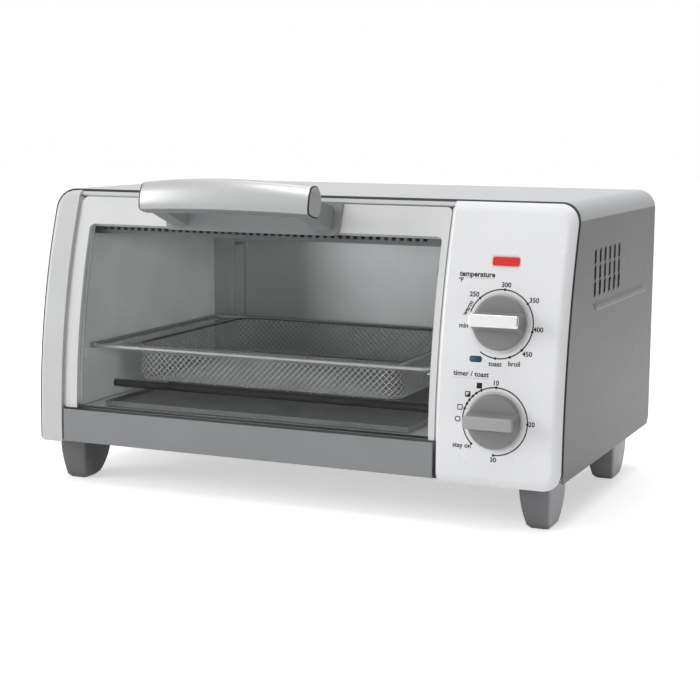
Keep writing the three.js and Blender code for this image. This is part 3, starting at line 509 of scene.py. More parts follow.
def copy_of(node):
    """The CAD node's own shape as a new mesh, with its flat faces whole again."""
    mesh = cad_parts[node].data.copy()
    work = bmesh.new()
    work.from_mesh(mesh)
    bmesh.ops.remove_doubles(work, verts=work.verts, dist=1e-6)
    bmesh.ops.dissolve_limit(work, angle_limit=math.radians(0.6), verts=work.verts,
                             edges=work.edges)
    work.to_mesh(mesh)
    work.free()
    return mesh


panel_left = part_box("control_panel")[0].x
stile_right = -half_width + 21 * mm
rail_low = roof_z - 4.4 * mm
rim_round = 7 * mm
rim_drop = 3.2 * mm
seam_step = 0.9 * mm                            # the front is a little smaller than the wrapper
front_edge = half_width - seam_step
front_top = roof_z - seam_step


def rim_height(inset):
    """How far a moulded or pressed rim stands out, at a distance in from its outer edge."""
    share = min(max(inset / rim_round, 0.0), 1.0)
    return frame_proud - rim_drop * (1 - share) ** 1.4


def inset_in(x, z, left, right, low, high, radius):
    """How far a place lies inside a rounded rectangle."""
    across = max(left + radius - x, x - right + radius)
    up = max(low + radius - z, z - high + radius)
    if across > 0 and up > 0:
        return radius - math.hypot(across, up)
    return radius - max(across, up)


def stile_face(x, z):
    inset = inset_in(x, z, -front_edge, 1.0, -1.0, front_top, corner_radius)
    return -rim_height(inset * 2.4)


# The upright, the rail and the strips by the door wear a darker copy of the silver enamel, as
# painted shade.
silver_enamel_painted_shade = surface("silver_enamel_painted_shade", (0.58, 0.585, 0.59), 0.3, coat=0.3,
                       fleck=(0.35 * mm, 0.03), peel=(1.5 * mm, 0.006 * mm))
rim_steps = [rim_round * share for share in (0.03, 0.08, 0.15, 0.25, 0.37, 0.5, 0.65, 0.8, 1.0)]
stile_outline = rounded_outline(-front_edge, stile_right, body_low, front_top,
                                (5 * mm, 0.0, 0.0, corner_radius))
stile_levels = spread(body_low, front_top - rim_round, 4 * mm)[1:] + [
    front_top - step for step in rim_steps]
front_stile = piece(
    "front_stile",
    front_slab(stile_outline, stile_face, -0.3 * mm, [-front_edge + step for step in rim_steps],
               stile_levels),
    "root", "silver_paint", silver_enamel_painted_shade, "front_frame")
round_edges(front_stile, 0.5 * mm, 3, 50)


def rail_face(x, z):
    return -0.5 * rim_height(front_top - z)


rail_outline = rectangle(stile_right, panel_left - 0.3 * mm, rail_low, front_top)
front_rail = piece(
    "front_rail",
    front_slab(rail_outline, rail_face, -0.3 * mm, (), [front_top - step for step in rim_steps[:6]]),
    "root", "silver_paint", silver_enamel_painted_shade)
round_edges(front_rail, 0.4 * mm, 3, 50)


def before_seam(left, right):
    """A cutter for all that stands in front of the wrapper's edge."""
    return front_slab(rectangle(left, right, body_low - 0.01, roof_z + 0.004), -12 * mm, 0.5 * mm)


mouth_plate = piece("mouth_plate", copy_of("front_frame"), "root", "silver_paint", silver_enamel)
take_away(mouth_plate, before_seam(-0.3, 0.3))
round_edges(mouth_plate, 0.3 * mm, 2)

# A dark sheet paints the shade in the seam, as a thin line between the front's rim and the wrapper's
# edge.
painted_seam_shade = surface("dark_painted_seam_shade", (0.03, 0.03, 0.032), 0.6, fleck=(0.5 * mm, 0.1))
seam_shade_inset = 0.1 * mm
seam_shade_radius = corner_radius - seam_shade_inset
seam_shade_outline = rounded_outline(-half_width + seam_shade_inset, half_width - seam_shade_inset,
                                 body_low + 0.4 * mm, roof_z - seam_shade_inset,
                                 (2 * mm, corner_radius, seam_shade_radius, seam_shade_radius))
seam_shade_hole = rounded_outline(-half_width + 3 * mm, half_width - 3 * mm, body_low + 3 * mm,
                              roof_z - 3 * mm, (0.0, 11 * mm, 11 * mm, 11 * mm))
front_seam_shade = piece("front_seam_shade", front_slab(seam_shade_outline, -0.4 * mm, 0.3 * mm), "root",
                     "black_plastic", painted_seam_shade)
take_away(front_seam_shade, front_slab(seam_shade_hole, -10 * mm, 10 * mm))

# Narrow silver strips close the running gaps at the door's sides and over it.
door_low, door_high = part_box("door_frame")
for name, left, right, low, high in (
        ("left", stile_right - 0.5 * mm, door_low.x - 0.3 * mm, door_low.z, door_high.z),
        ("right", door_high.x + 0.3 * mm, panel_left + 0.2 * mm, door_low.z, door_high.z),
        ("top", door_low.x, door_high.x, door_high.z + 0.3 * mm, rail_low + 0.3 * mm)):
    piece(f"door_reveal_{name}",
          front_slab(rectangle(left, right, low, high), -0.3 * mm, 5.5 * mm),
          "root", "silver_paint", silver_enamel_painted_shade)

# ---- Door -------------------------------------------------------------------------------------
# A pressed steel frame in silver enamel, paler than the front's upright and rail, which carry
# painted shade: a broad band over the window and a narrow strip at each side of it. The window is
# one bent pane that runs down to the door's bottom edge.
glass_low, glass_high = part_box("door_glass")
door_proud = 0.9 * mm
door_back = 4.6 * mm
glass_front = 0.6 * mm
glass_back = 3.4 * mm
glass_lip = 1.6 * mm
door_outline = rounded_outline(door_low.x, door_high.x, door_low.z, door_high.z,
                               (1 * mm, 1 * mm, 4 * mm, 5 * mm))
opening_outline = rounded_outline(glass_low.x - 0.3 * mm, glass_high.x + 0.3 * mm, 0.0,
                                  glass_high.z + 0.3 * mm, (0.0, 0.0, 4 * mm, 4 * mm))
sight_outline = rectangle(glass_low.x + glass_lip, glass_high.x - glass_lip, 0.0,
                          glass_high.z - glass_lip)
door_enamel = surface("door_enamel", (0.685, 0.69, 0.695), 0.3, coat=0.3,
                      fleck=(0.35 * mm, 0.03), peel=(1.5 * mm, 0.006 * mm))
door_shell = piece("door_shell", front_slab(door_outline, -door_proud, door_back), "door",
                   "silver_paint", door_enamel, "door_frame")
take_away(door_shell, front_slab(opening_outline, -30 * mm, glass_back + 0.3 * mm),
          front_slab(sight_outline, -30 * mm, 30 * mm))
round_edges(door_shell, 0.6 * mm, 4, 50)


def window_glass():
    """Clear tempered glass with faint smears: most light goes through, some is mirrored."""
    material, tree, shader = new_material("window_glass")
    tree.nodes.remove(shader)
    place = add_node(tree, "TexCoord", {}).outputs["Object"]
    smears = add_node(tree, "TexNoise", {
        "Vector": place, "Scale": 1 / (35 * mm), "Detail": 5}).outputs["Fac"]
    gloss = add_node(tree, "MapRange", {
        "Value": smears, "From Min": 0.3, "From Max": 0.7, "To Min": 0.03, "To Max": 0.09})
    clear = add_node(tree, "BsdfTransparent", {"Color": (0.985, 0.99, 0.99, 1)})
    mirror = add_node(tree, "BsdfGlossy", {
        "Color": (0.9, 0.92, 0.92, 1), "Roughness": gloss.outputs[0]})
    share = add_node(tree, "Fresnel", {"IOR": 1.18})
    pane = add_node(tree, "MixShader", {
        0: share.outputs[0], 1: clear.outputs[0], 2: mirror.outputs[0]})
    connect(tree, tree.nodes["Material Output"], {"Surface": pane.outputs[0]})
    return material


glass_outline = rounded_outline(glass_low.x, glass_high.x, glass_low.z, glass_high.z,
                                (0.5 * mm, 0.5 * mm, 4 * mm, 4 * mm))
window = piece("window_pane", front_slab(glass_outline, glass_front, glass_back), "door", "glass",
               window_glass(), "door_glass")
round_edges(window, 0.3 * mm, 2, 50)

# The window's lower edge sits in a dark seal.
rubber = surface("dark_seal", (0.03, 0.03, 0.032), 0.5, fleck=(0.5 * mm, 0.1))
seal_outline = rectangle(glass_low.x, glass_high.x, glass_low.z, glass_low.z + 1.6 * mm)
piece("door_seal",
      front_slab(seal_outline, glass_front - 0.25 * mm, glass_front, (), 0.4 * mm),
      "door", "black_plastic", rubber)

# ---- Handle -----------------------------------------------------------------------------------
# A bowed bar in silver-painted plastic closed by a grey cap at each end, on two arms of a dark
# moulded bracket that is screwed to the door's band from behind.
silver_moulding = surface("silver_moulding", (0.43, 0.435, 0.44), 0.34, metallic=0.45, coat=0.15,
                          fleck=(1.0 * mm, 0.015), cloud=(50 * mm, 0.02),
                          peel=(4 * mm, 0.002 * mm), scuff=0.01)
cap_moulding = surface("cap_moulding", (0.43, 0.435, 0.44), 0.36, coat=0.1,
                       fleck=(0.4 * mm, 0.03), peel=(0.5 * mm, 0.008 * mm))
grey_moulding = surface("grey_moulding", (0.222, 0.222, 0.225), 0.38, coat=0.1,
                        fleck=(0.5 * mm, 0.05), peel=(0.5 * mm, 0.012 * mm))
dark_moulding = surface("dark_moulding", (0.255, 0.26, 0.265), 0.4,
                        fleck=(0.5 * mm, 0.06), peel=(0.5 * mm, 0.015 * mm))
cap_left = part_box("handle_end_cap_left")
cap_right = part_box("handle_end_cap_right")
handle_shift = -2 * mm
bar_middle = (cap_left[0].x + cap_right[1].x) / 2 + handle_shift
bar_half = (cap_right[1].x - cap_left[0].x) / 2
bar_height = door_high.z + 3.1 * mm
bar_front = front_y(bar_height) - 45.5 * mm
bar_bow = 5 * mm
bar_arch = 2.6 * mm
bar_depth = 10 * mm
bar_tall = 11.2 * mm
bar_swell = 1.2 * mm
bar_section = (                                 # back and up; a corner given twice is sharp
    (0.16, 1.0), (-0.25, 0.96), (-0.55, 0.82), (-0.8, 0.42), (-0.95, -0.05), (-1.0, -0.42),
    (-0.95, -0.7), (-0.95, -0.7), (-0.6, -0.84), (-0.1, -0.96), (0.35, -1.02), (0.72, -0.82),
    (0.95, -0.3), (1.0, 0.15), (0.86, 0.62), (0.55, 0.9))


def smooth_loop(corners, steps=5):
    """A closed smooth line through the corners."""
    count = len(corners)
    points = []
    for i in range(count):
        a, b, c, d = (Vector(corners[(i + k) % count]) for k in (-1, 0, 1, 2))
        if b == c:
            continue
        for step in range(steps):
            t = step / steps
            points.append(0.5 * (2 * b + (c - a) * t + (2 * a - 5 * b + 4 * c - d) * t * t
                                 + (3 * b - a - 3 * c + d) * t ** 3))
    return points


bar_loop = smooth_loop(bar_section)


def bar_ring(x, shrink=0.0):
    """The bar's section at a place along it: a leaning face over a sharp lower edge."""
    rise = 1 - ((x - bar_middle) / bar_half) ** 2
    y = bar_front - bar_bow * rise
    z = bar_height + bar_arch * rise
    tall = bar_tall + bar_swell * rise - shrink
    return [(x, y + (bar_depth - shrink) * back, z + tall * up) for back, up in bar_loop]


def closed_loft(name, rings):
    """A closed skin over rings with equal numbers of points."""
    count = len(rings[0])
    points = [point for ring in rings for point in ring]
    faces = [(a * count + i, a * count + (i + 1) % count, (a + 1) * count + (i + 1) % count,
              (a + 1) * count + i) for a in range(len(rings) - 1) for i in range(count)]
    faces.append(tuple(range(count)))
    faces.append(tuple(range((len(rings) - 1) * count, len(rings) * count)))
    return mesh_of(name, points, faces)


cap_length = 2 * mm
bar_ends = (bar_middle - bar_half + cap_length, bar_middle + bar_half - cap_length)
grip_bar = piece("handle_grip",
                 closed_loft("handle_grip", [bar_ring(x) for x in spread(*bar_ends, 3.5 * mm)]),
                 "door", "silver_paint", silver_moulding, "handle_bar")
keep_corners(grip_bar, 32)
for side, name in ((-1, "left"), (1, "right")):
    def end_rings(*places):
        return [bar_ring(bar_middle + side * (bar_half - cap_length + out), shrink)
                for out, shrink in places]
    # A thin dark ring before each cap paints the shade in the joint between grip and cap.
    joint_shade = piece(f"handle_joint_shade_{name}",
                closed_loft("joint_shade", end_rings((0.0, 0.1 * mm), (1.0 * mm, 0.1 * mm))),
                "door", "dark_plastic", painted_seam_shade)
    keep_corners(joint_shade, 28.65)
    cap = piece(f"handle_cap_{name}", closed_loft(f"handle_cap_{name}", end_rings(
        (0.5 * mm, 0.9 * mm), (1.4 * mm, 0.9 * mm), (1.75 * mm, 1.1 * mm), (1.9 * mm, 1.6 * mm),
        (2.0 * mm, 2.6 * mm))), "door", "grey_plastic", cap_moulding, f"handle_end_cap_{name}")
    keep_corners(cap, 51.57)

bracket_mesh = copy_of("handle_bracket")
for vertex in bracket_mesh.vertices:
    vertex.co.x += handle_shift
bracket = piece("bracket_moulding", bracket_mesh, "door", "dark_plastic", dark_moulding,
                "handle_bracket")
round_edges(bracket, 0.7 * mm, 3, 30)

# ---- Control panel ----------------------------------------------------------------------------
# A moulded shell in glossy silver-white plastic with a soft rim, printed in black, with the red
# window of the mains lamp near its top.
white_moulding = surface("white_moulding", (0.80, 0.805, 0.82), 0.27, coat=0.35,
                         fleck=(1.2 * mm, 0.006), cloud=(60 * mm, 0.008),
                         peel=(5 * mm, 0.002 * mm), scuff=0.006)
panel_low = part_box("control_panel")[0].z
dial_x = half_width - 48 * mm
upper_dial_z = body_low + 109.9 * mm
lower_dial_z = body_low + 44.2 * mm
lamp_z = body_low + 151.7 * mm
lamp_width = 19.4 * mm
lamp_height = 6.4 * mm
dish_radius = 20.6 * mm
dish_depth = 0.5 * mm
dish_slope = 1.2 * mm
seat_depth = 0.6 * mm
seat_slope = 0.7 * mm


def panel_face(x, z):
    """The panel's relief: the soft rim, the lamp's seat and a shallow dish under each dial."""
    out = rim_height(inset_in(x, z, -1.0, front_edge, panel_low, front_top, corner_radius))
    out *= 0.75 + 0.25 * soft_step((x - panel_left) / dish_slope)
    for dial_z in (upper_dial_z, lower_dial_z):
        away = math.hypot(x - dial_x, z - dial_z)
        out -= dish_depth * soft_step((dish_radius - away) / dish_slope)
    beside = max(abs(x - dial_x) - lamp_width / 2, abs(z - lamp_z) - lamp_height / 2)
    out -= seat_depth * soft_step((seat_slope - beside) / seat_slope)
    return -out


panel_outline = rounded_outline(panel_left, front_edge, panel_low, front_top,
                                (1 * mm, corner_radius, corner_radius, 1 * mm), 12)
panel_columns = spread(panel_left, front_edge, 1.1 * mm)[1:-1] + [
    panel_left + step * mm for step in (0.3, 0.6)] + [
    front_edge - step * mm for step in (0.05, 0.15, 0.3, 0.5, 0.8)]
panel_rows = spread(panel_low, front_top, 1.1 * mm)[1:-1] + [
    edge + sign * step * mm for edge, sign in ((panel_low, 1), (front_top, -1))
    for step in (0.05, 0.15, 0.3, 0.5, 0.8)]
panel = piece("panel_moulding",
              front_slab(panel_outline, panel_face, -0.3 * mm, sorted(panel_columns),
                         sorted(panel_rows)),
              "root", "white_plastic", white_moulding, "control_panel")
keep_corners(panel, 55)

# Behind the face the shell carries on as a skirt inside the wrapper.
panel_skirt = piece("panel_skirt", copy_of("control_panel"), "root", "white_plastic",
                    white_moulding)
take_away(panel_skirt, before_seam(0.0, 0.3))

ink = surface("print_ink", (0.008, 0.008, 0.009), 0.6, fleck=(0.6 * mm, 0.2))
blue_ink = surface("print_blue", (0.02, 0.075, 0.15), 0.45, fleck=(0.2 * mm, 0.2))
ink_proud = 0.05 * mm
ink_sunk = 0.02 * mm


def panel_surface_y(x, z):
    return front_y(z) + panel_face(x, z)


def round_dial(z, radius, turn):
    """A place on the panel, at a distance and an angle from a dial's middle."""
    angle = math.radians(turn)
    return dial_x + radius * math.cos(angle), z + radius * math.sin(angle)


class Print:
    """Thin closed shapes laid on the panel's face, gathered into one piece."""

    def __init__(self):
        self.points = []
        self.faces = []

    def lay(self, outline):
        start = len(self.points)
        count = len(outline)
        for lift in (-ink_proud, ink_sunk):
            for x, z in outline:
                self.points.append((x, panel_surface_y(x, z) + lift, z))
        self.faces.append(tuple(range(start, start + count)))
        self.faces.append(tuple(range(start + count, start + 2 * count)))
        for i in range(count):
            j = (i + 1) % count
            self.faces.append((start + i, start + j, start + count + j, start + count + i))

    def arc(self, z, radius, first, last, width):
        turns = spread(first, last, 3)
        for a, b in zip(turns, turns[1:]):
            ring = [(radius + width / 2, a), (radius + width / 2, b), (radius - width / 2, b),
                    (radius - width / 2, a)]
            self.lay([round_dial(z, reach, turn) for reach, turn in ring])

    def dot(self, z, radius, turn, size):
        x, up = round_dial(z, radius, turn)
        self.lay([(x + size / 2 * math.cos(2 * math.pi * k / 12),
                   up + size / 2 * math.sin(2 * math.pi * k / 12)) for k in range(12)])

    def word(self, text, place, size, turn=0, weight=0.11 * mm):
        """A word centred on a place."""
        x, z = place
        letters = bpy.data.curves.new("word", "FONT")
        letters.body = text
        letters.size = size
        letters.align_x = "CENTER"
        letters.align_y = "CENTER"
        letters.offset = weight
        letters.resolution_u = 3
        letters.extrude = (ink_proud + ink_sunk) / 2
        sign = bpy.data.objects.new("word", letters)
        bpy.context.collection.objects.link(sign)
        graph = bpy.context.evaluated_depsgraph_get()
        mesh = bpy.data.meshes.new_from_object(sign.evaluated_get(graph))
        start = len(self.points)
        cosine, sine = math.cos(math.radians(turn)), math.sin(math.radians(turn))
        for vertex in mesh.vertices:
            u, v, lift = vertex.co
            px, pz = x + u * cosine - v * sine, z + u * sine + v * cosine
            self.points.append((px, panel_surface_y(px, pz) - lift - ink_proud / 2, pz))
        for face in mesh.polygons:
            self.faces.append(tuple(start + i for i in face.vertices))
        bpy.data.objects.remove(sign)

    def put_on(self, name, slot, colour):
        piece(name, mesh_of(name, self.points, self.faces), "root", slot, colour)


scale_radius = 23.1 * mm
line_width = 0.85 * mm
dot_size = 1.9 * mm
word_size = 5.0 * mm
mark_size = word_size * 0.92
bold = 0.15 * mm
black = Print()
black.arc(upper_dial_z, scale_radius, -124, 162, line_width)
black.arc(lower_dial_z, scale_radius, -91, 226, line_width)
for turn in (134, 87, 39, -10, -45, -69, -95):
    black.dot(upper_dial_z, scale_radius, turn, dot_size)
for turn in (-91, 0, 90, 117, 127, 135, 144, 152, 161, 225):
    black.dot(lower_dial_z, scale_radius, turn, dot_size)
for text, turn, radius in (("250", 137, 27.8), ("300", 86, 26.2), ("350", 37, 27.9),
                           ("400", -5, 27.0), ("450", -43, 27.8), ("broil", -66, 28.5),
                           ("toast", -94, 26.9), ("min", -175, 26.3)):
    black.word(text, round_dial(upper_dial_z, radius * mm, turn), mark_size)
black.word("warm", round_dial(upper_dial_z, 25.9 * mm, 158), mark_size, 62)
for text, turn, radius in (("10", 91, 26.1), ("20", 0, 26.0), ("30", -91, 26.4),
                           ("stay on", -142, 29.4)):
    black.word(text, round_dial(lower_dial_z, radius * mm, turn), mark_size)
black.word("temperature", (dial_x - 19.5 * mm, upper_dial_z + 32.4 * mm), word_size, 0, bold)
black.word("°F", (dial_x - 31 * mm, upper_dial_z + 28.2 * mm), word_size * 0.8)
black.word("timer / toast", (dial_x - 18.5 * mm, lower_dial_z + 31.2 * mm), word_size)


def bar_outline(x, z, width, height, corner=0.0):
    return rounded_outline(x - width / 2, x + width / 2, z - height / 2, z + height / 2,
                           (corner,) * 4, 5)


# Four toast shades by the timer's scale, from black to white.
shade_size = 3.9 * mm
shade_line = 0.65 * mm
shade_radius = 26.6 * mm
shade_places = [round_dial(lower_dial_z, shade_radius, turn) for turn in (117, 139, 162, 180)]


def shade_frame(x, z, corner):
    """The outline of a toast shade, drawn as a thin closed line."""
    outer = bar_outline(x, z, shade_size, shade_size, corner)
    inner = bar_outline(x, z, shade_size - 2 * shade_line, shade_size - 2 * shade_line,
                        max(corner - shade_line, 0.05 * mm))
    for i in range(len(outer)):
        j = (i + 1) % len(outer)
        black.lay([outer[i], outer[j], inner[j], inner[i]])


black.lay(bar_outline(*shade_places[0], shade_size, shade_size, 0.3 * mm))
for (x, z), corner in zip(shade_places[1:], (0.4 * mm, 0.8 * mm, 1.5 * mm)):
    shade_frame(x, z, corner)
x, z = shade_places[1]                          # the second shade's lower right half is black
shade_half = shade_size * 0.45
black.lay([(x - shade_half, z - shade_half), (x + shade_half, z - shade_half),
           (x + shade_half, z + shade_half)])
black.put_on("panel_print", "black_plastic", ink)
thin = Print()
rule_width = 0.18 * mm
thin.lay(bar_outline(dial_x - 19.5 * mm, upper_dial_z + 29.9 * mm, 24.5 * mm, rule_width))
thin.lay(bar_outline(dial_x - 18.5 * mm, lower_dial_z + 28.3 * mm, 25.5 * mm, rule_width))
grey_ink = surface("print_grey", (0.3, 0.31, 0.33), 0.5, fleck=(0.2 * mm, 0.1))
thin.put_on("panel_rules", "grey_plastic", grey_ink)
badge = Print()
badge.lay(bar_outline(dial_x - 15.8 * mm, upper_dial_z - 24.2 * mm, 9 * mm, 4.3 * mm, 1.7 * mm))
badge.put_on("function_badge", "grey_plastic", blue_ink)

red_window = surface("red_window", (0.36, 0.003, 0.004), 0.35, coat=0.05, fleck=(0.6 * mm, 0.05))
connect(red_window.node_tree, red_window.node_tree.nodes["Principled BSDF"],
        {"Emission Color": (1.0, 0.02, 0.015, 1), "Emission Strength": 0.32})
lens_outline = bar_outline(dial_x, lamp_z, lamp_width - 0.6 * mm, lamp_height - 0.6 * mm,
                           1.2 * mm)
lamp_face = piece("lamp_window", front_slab(lens_outline, -4.2 * mm, 6 * mm, (), 0.6 * mm),
                  "root", "red_lens", red_window, "lamp_lens")
round_edges(lamp_face, 0.5 * mm, 3, 50)

# ---- Dials ------------------------------------------------------------------------------------
# Each dial is a grey moulded disc with a flat face and a tapering grip across it. The grip's tip
# is a separate cap: bright plated on the temperature dial, grey on the timer's.
plated = surface("plated_cap", (0.95, 0.945, 0.93), 0.18, metallic=0.85, fleck=(0.8 * mm, 0.02),
                 cloud=(12 * mm, 0.03), peel=(1.5 * mm, 0.003 * mm))
pale_moulding = surface("pale_moulding", (0.36, 0.36, 0.36), 0.34, coat=0.15,
                        fleck=(0.5 * mm, 0.03), peel=(0.5 * mm, 0.006 * mm))
knob_radius = 18.8 * mm
knob_thickness = 4.5 * mm
grip_reach = 17.4 * mm
grip_half = 17.5 * mm
grip_tall = 8.6 * mm
cap_depth = 2.7 * mm


def lathe(name, rings, sides=96):
    """A turned shape from (radius, distance out) pairs, about local -Y."""
    turns = [2 * math.pi * side / sides for side in range(sides)]
    return closed_loft(name, [[(radius * math.cos(turn), -out, radius * math.sin(turn))
                               for turn in turns] for radius, out in rings])


def on_front(mesh, x, z):
    """Sets a mesh made about local -Y square on the front at a place."""
    lean = math.asin(max(0.0, z - front_upright) / front_radius)
    for vertex in mesh.vertices:
        u, v, w = vertex.co
        vertex.co = (x + u, front_y(z) + v * math.cos(lean) + w * math.sin(lean),
                     z - v * math.sin(lean) + w * math.cos(lean))
    return mesh


def grip_ring(length, height, out, corner):
    outline = rounded_outline(-length, length, -height, height, (corner,) * 4, 5)
    return [(x, -out, z) for x, z in outline]


disc_back = frame_proud + 0.8 * mm
disc_front = disc_back + knob_thickness
disc_rings = [(knob_radius - 0.8 * mm, disc_back), (knob_radius, disc_back + 0.5 * mm)] + [
    (knob_radius - inset * mm, disc_front - drop * mm)
    for inset, drop in ((0, 1.4), (0.3, 0.7), (1, 0.2), (2, 0.05), (5, 0), (9.8, 0))]
tip = frame_proud + grip_reach
grip_root = disc_front - 1.2 * mm
grip_end = tip - cap_depth - 0.2 * mm
grip_rings = [grip_ring(grip_half + 0.5 * mm * (1 - share),
                        grip_tall / 2 + 2.8 * mm * (1 - share) ** 1.3,
                        grip_root + (grip_end - grip_root) * share, 1.6 * mm)
              for share in (0.0, 0.12, 0.3, 0.5, 0.75, 1.0)]
tip_rings = [grip_ring(grip_half - shrink, grip_tall / 2 - shrink, tip - drop, corner)
             for shrink, drop, corner in (
                 (0, cap_depth, 1.8 * mm), (0, 0.9 * mm, 1.8 * mm),
                 (0.15 * mm, 0.45 * mm, 1.7 * mm), (0.45 * mm, 0.12 * mm, 1.4 * mm),
                 (0.9 * mm, 0, 1.0 * mm))]
for name, z, tip_finish, tip_slot in (("temperature", upper_dial_z, plated, "chrome"),
                                      ("timer", lower_dial_z, pale_moulding, "grey_plastic")):
    body = f"{name}_dial"
    disc = piece(f"{name}_disc", on_front(lathe("disc", disc_rings), dial_x, z), body,
                 "grey_plastic", grey_moulding, f"{name}_knob")
    keep_corners(disc, 50)
    grip = piece(f"{name}_grip", on_front(closed_loft("grip", grip_rings), dial_x, z), body,
                 "grey_plastic", grey_moulding)
    round_edges(grip, 0.35 * mm, 2, 50)
    tip_piece = piece(f"{name}_tip", on_front(closed_loft("tip", tip_rings), dial_x, z), body,
                      tip_slot, tip_finish, f"{name}_grip_cap")
    keep_corners(tip_piece, 45)

# ---- Strip under the door ---------------------------------------------------------------------
# A strip of steel with its long edges folded back and rounded, in grey enamel a little paler than
# the wrapper's sides. It closes the body between the door and the base.
strip_low, strip_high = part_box("lower_front_strip")
strip_proud = 4.1 * mm
strip_outline = rectangle(strip_low.x, strip_high.x, strip_low.z, strip_high.z)
strip_sheet = 1.2 * mm
strip = piece("lower_strip", front_slab(strip_outline, -strip_proud, 6 * mm, (), 3 * mm), "root",
              "grey_paint", grey_enamel, "lower_front_strip")
take_away(strip, front_slab(
    rectangle(strip_low.x - 0.01, strip_high.x + 0.01, strip_low.z + strip_sheet,
              strip_high.z + 0.01), strip_sheet - strip_proud, 5 * mm, (), 3 * mm))
round_edges(strip, 0.5 * mm, 3, 50)

# ---- Base and feet ----------------------------------------------------------------------------
# A flat steel base, and four moulded feet: upright at the outside and the front, drawn in with a
# long round at the inside and behind.
foot_moulding = surface("foot_moulding", (0.112, 0.114, 0.118), 0.3, coat=0.2,
                        fleck=(0.4 * mm, 0.08), peel=(0.35 * mm, 0.03 * mm))
base = piece("base_sheet", copy_of("base_plate"), "root", "grey_paint", grey_enamel, "base_plate")
round_edges(base, 0.3 * mm, 2, 50)

foot_steps = 16
foot_narrowing = 7 * mm
foot_corner = 2 * mm
sole_start = 0.93
sole_round = 1.6 * mm


def foot_mesh(low, high):
    """A foot from its box: rings of rounded sections from the base down to the table."""
    outer = high.x
    wide = high.x - low.x
    deep = high.y - low.y
    tall = high.z - low.z
    rings = []
    for step in range(foot_steps + 1):
        share = step / foot_steps               # 0 at the base, 1 on the table
        inner = outer - (wide - foot_narrowing * share ** 2.2)
        back = high.y - deep * (0.03 * share + 0.47 * share ** 3)
        sole = max(0.0, share - sole_start) / (1 - sole_start)
        tuck = sole_round * (1 - math.sqrt(max(0.0, 1 - sole ** 2)))
        outline = rounded_outline(inner + tuck, outer - tuck, low.y + tuck, back - tuck,
                                  (foot_corner,) * 4, 5)
        rings.append([(x, y, high.z - tall * share) for x, y in outline])
    return closed_loft("foot", rings)


for end in ("front", "rear"):
    for name in ("left", "right"):
        node = f"foot_{end}_{name}"
        foot = piece(f"{node}_moulding", foot_mesh(*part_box(node)), "root", "foot_plastic",
                     foot_moulding, node)
        keep_corners(foot, 50)

# ---- Cavity -----------------------------------------------------------------------------------
# Five sheets of aluminised steel, with two pressed ribs in the back one, small screws through the
# side walls, a folded guide on each side and a slotted guard under the roof.
liner_sheet = surface("liner_sheet", (0.84, 0.845, 0.85), 0.36, metallic=0.25,
                      fleck=(1.2 * mm, 0.05), cloud=(35 * mm, 0.06), peel=(3 * mm, 0.01 * mm))
# The back wall wears a darker copy of the liner's sheet: painted shade deep in the cavity.
back_liner_painted_shade = surface("back_liner_painted_shade", (0.40, 0.405, 0.41), 0.36, metallic=0.25,
                     fleck=(1.2 * mm, 0.05), cloud=(35 * mm, 0.06), peel=(3 * mm, 0.01 * mm))
guard_sheet = surface("guard_sheet", (0.20, 0.20, 0.205), 0.4, metallic=0.3,
                      fleck=(0.8 * mm, 0.08), cloud=(30 * mm, 0.1), peel=(2 * mm, 0.01 * mm))
for node in ("cavity_left_wall", "cavity_right_wall", "cavity_ceiling", "cavity_floor",
             "rack_guide_left", "rack_guide_right", "element_guard", "fan_guard"):
    finish = guard_sheet if node == "element_guard" else liner_sheet
    sheet_piece = piece(f"{node}_sheet", copy_of(node), "root", "liner_steel", finish, node)
    round_edges(sheet_piece, 0.2 * mm, 2, 50)

wall_low, wall_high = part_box("cavity_back_wall")
rib_places = (-156.4 * mm, 52 * mm)
rib_half = 6 * mm
rib_lift = 1.6 * mm
rib_slope = 2 * mm
rib_bottom = body_low + 32 * mm
rib_top = body_low + 138 * mm


def back_wall_y(x, z):
    lift = 0.0
    for rib_x in rib_places:
        inside = min(rib_half - abs(x - rib_x), z - rib_bottom, rib_top - z)
        lift = max(lift, rib_lift * soft_step(inside / rib_slope))
    return wall_low.y - lift


wall_columns = spread(wall_low.x, wall_high.x, 8 * mm)
for rib_x in rib_places:
    wall_columns += [rib_x + sign * (rib_half - step * mm) for sign in (-1, 1)
                     for step in (0, 0.4, 0.8, 1.2, 1.6, 2)]
wall_columns = sorted(set(wall_columns))
wall_rows = sorted(set(spread(wall_low.z, wall_high.z, 8 * mm) + [
    edge + sign * step * mm for edge, sign in ((rib_bottom, 1), (rib_top, -1))
    for step in (0, 0.4, 0.8, 1.2, 1.6, 2)]))
wall_points = [(x, back_wall_y(x, z), z) for z in wall_rows for x in wall_columns]
wall_faces = grid_faces(len(wall_rows), len(wall_columns))
back_wall = piece("cavity_back_wall_sheet", mesh_of("back_wall", wall_points, wall_faces), "root",
                  "liner_steel", back_liner_painted_shade, "cavity_back_wall")
thicken(back_wall, 0.8 * mm, 1 if back_wall.data.polygons[0].normal.y > 0 else -1)
cavity_middle = (wall_low.x + wall_high.x) / 2
slot_half = 127 * mm                            # the tray's way out
slot_tall = 5.7 * mm
slot_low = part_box("cavity_floor")[1].z + 0.3 * mm
take_away(back_wall, prism(
    rectangle(cavity_middle - slot_half, cavity_middle + slot_half, wall_low.y - 0.01,
              wall_low.y + 0.01), 2, slot_low, slot_low + slot_tall))
keep_corners(back_wall, 50)

zinc = surface("zinc_plate", (0.55, 0.555, 0.56), 0.36, metallic=0.85, fleck=(0.5 * mm, 0.08),
               cloud=(9 * mm, 0.08), peel=(0.8 * mm, 0.006 * mm))


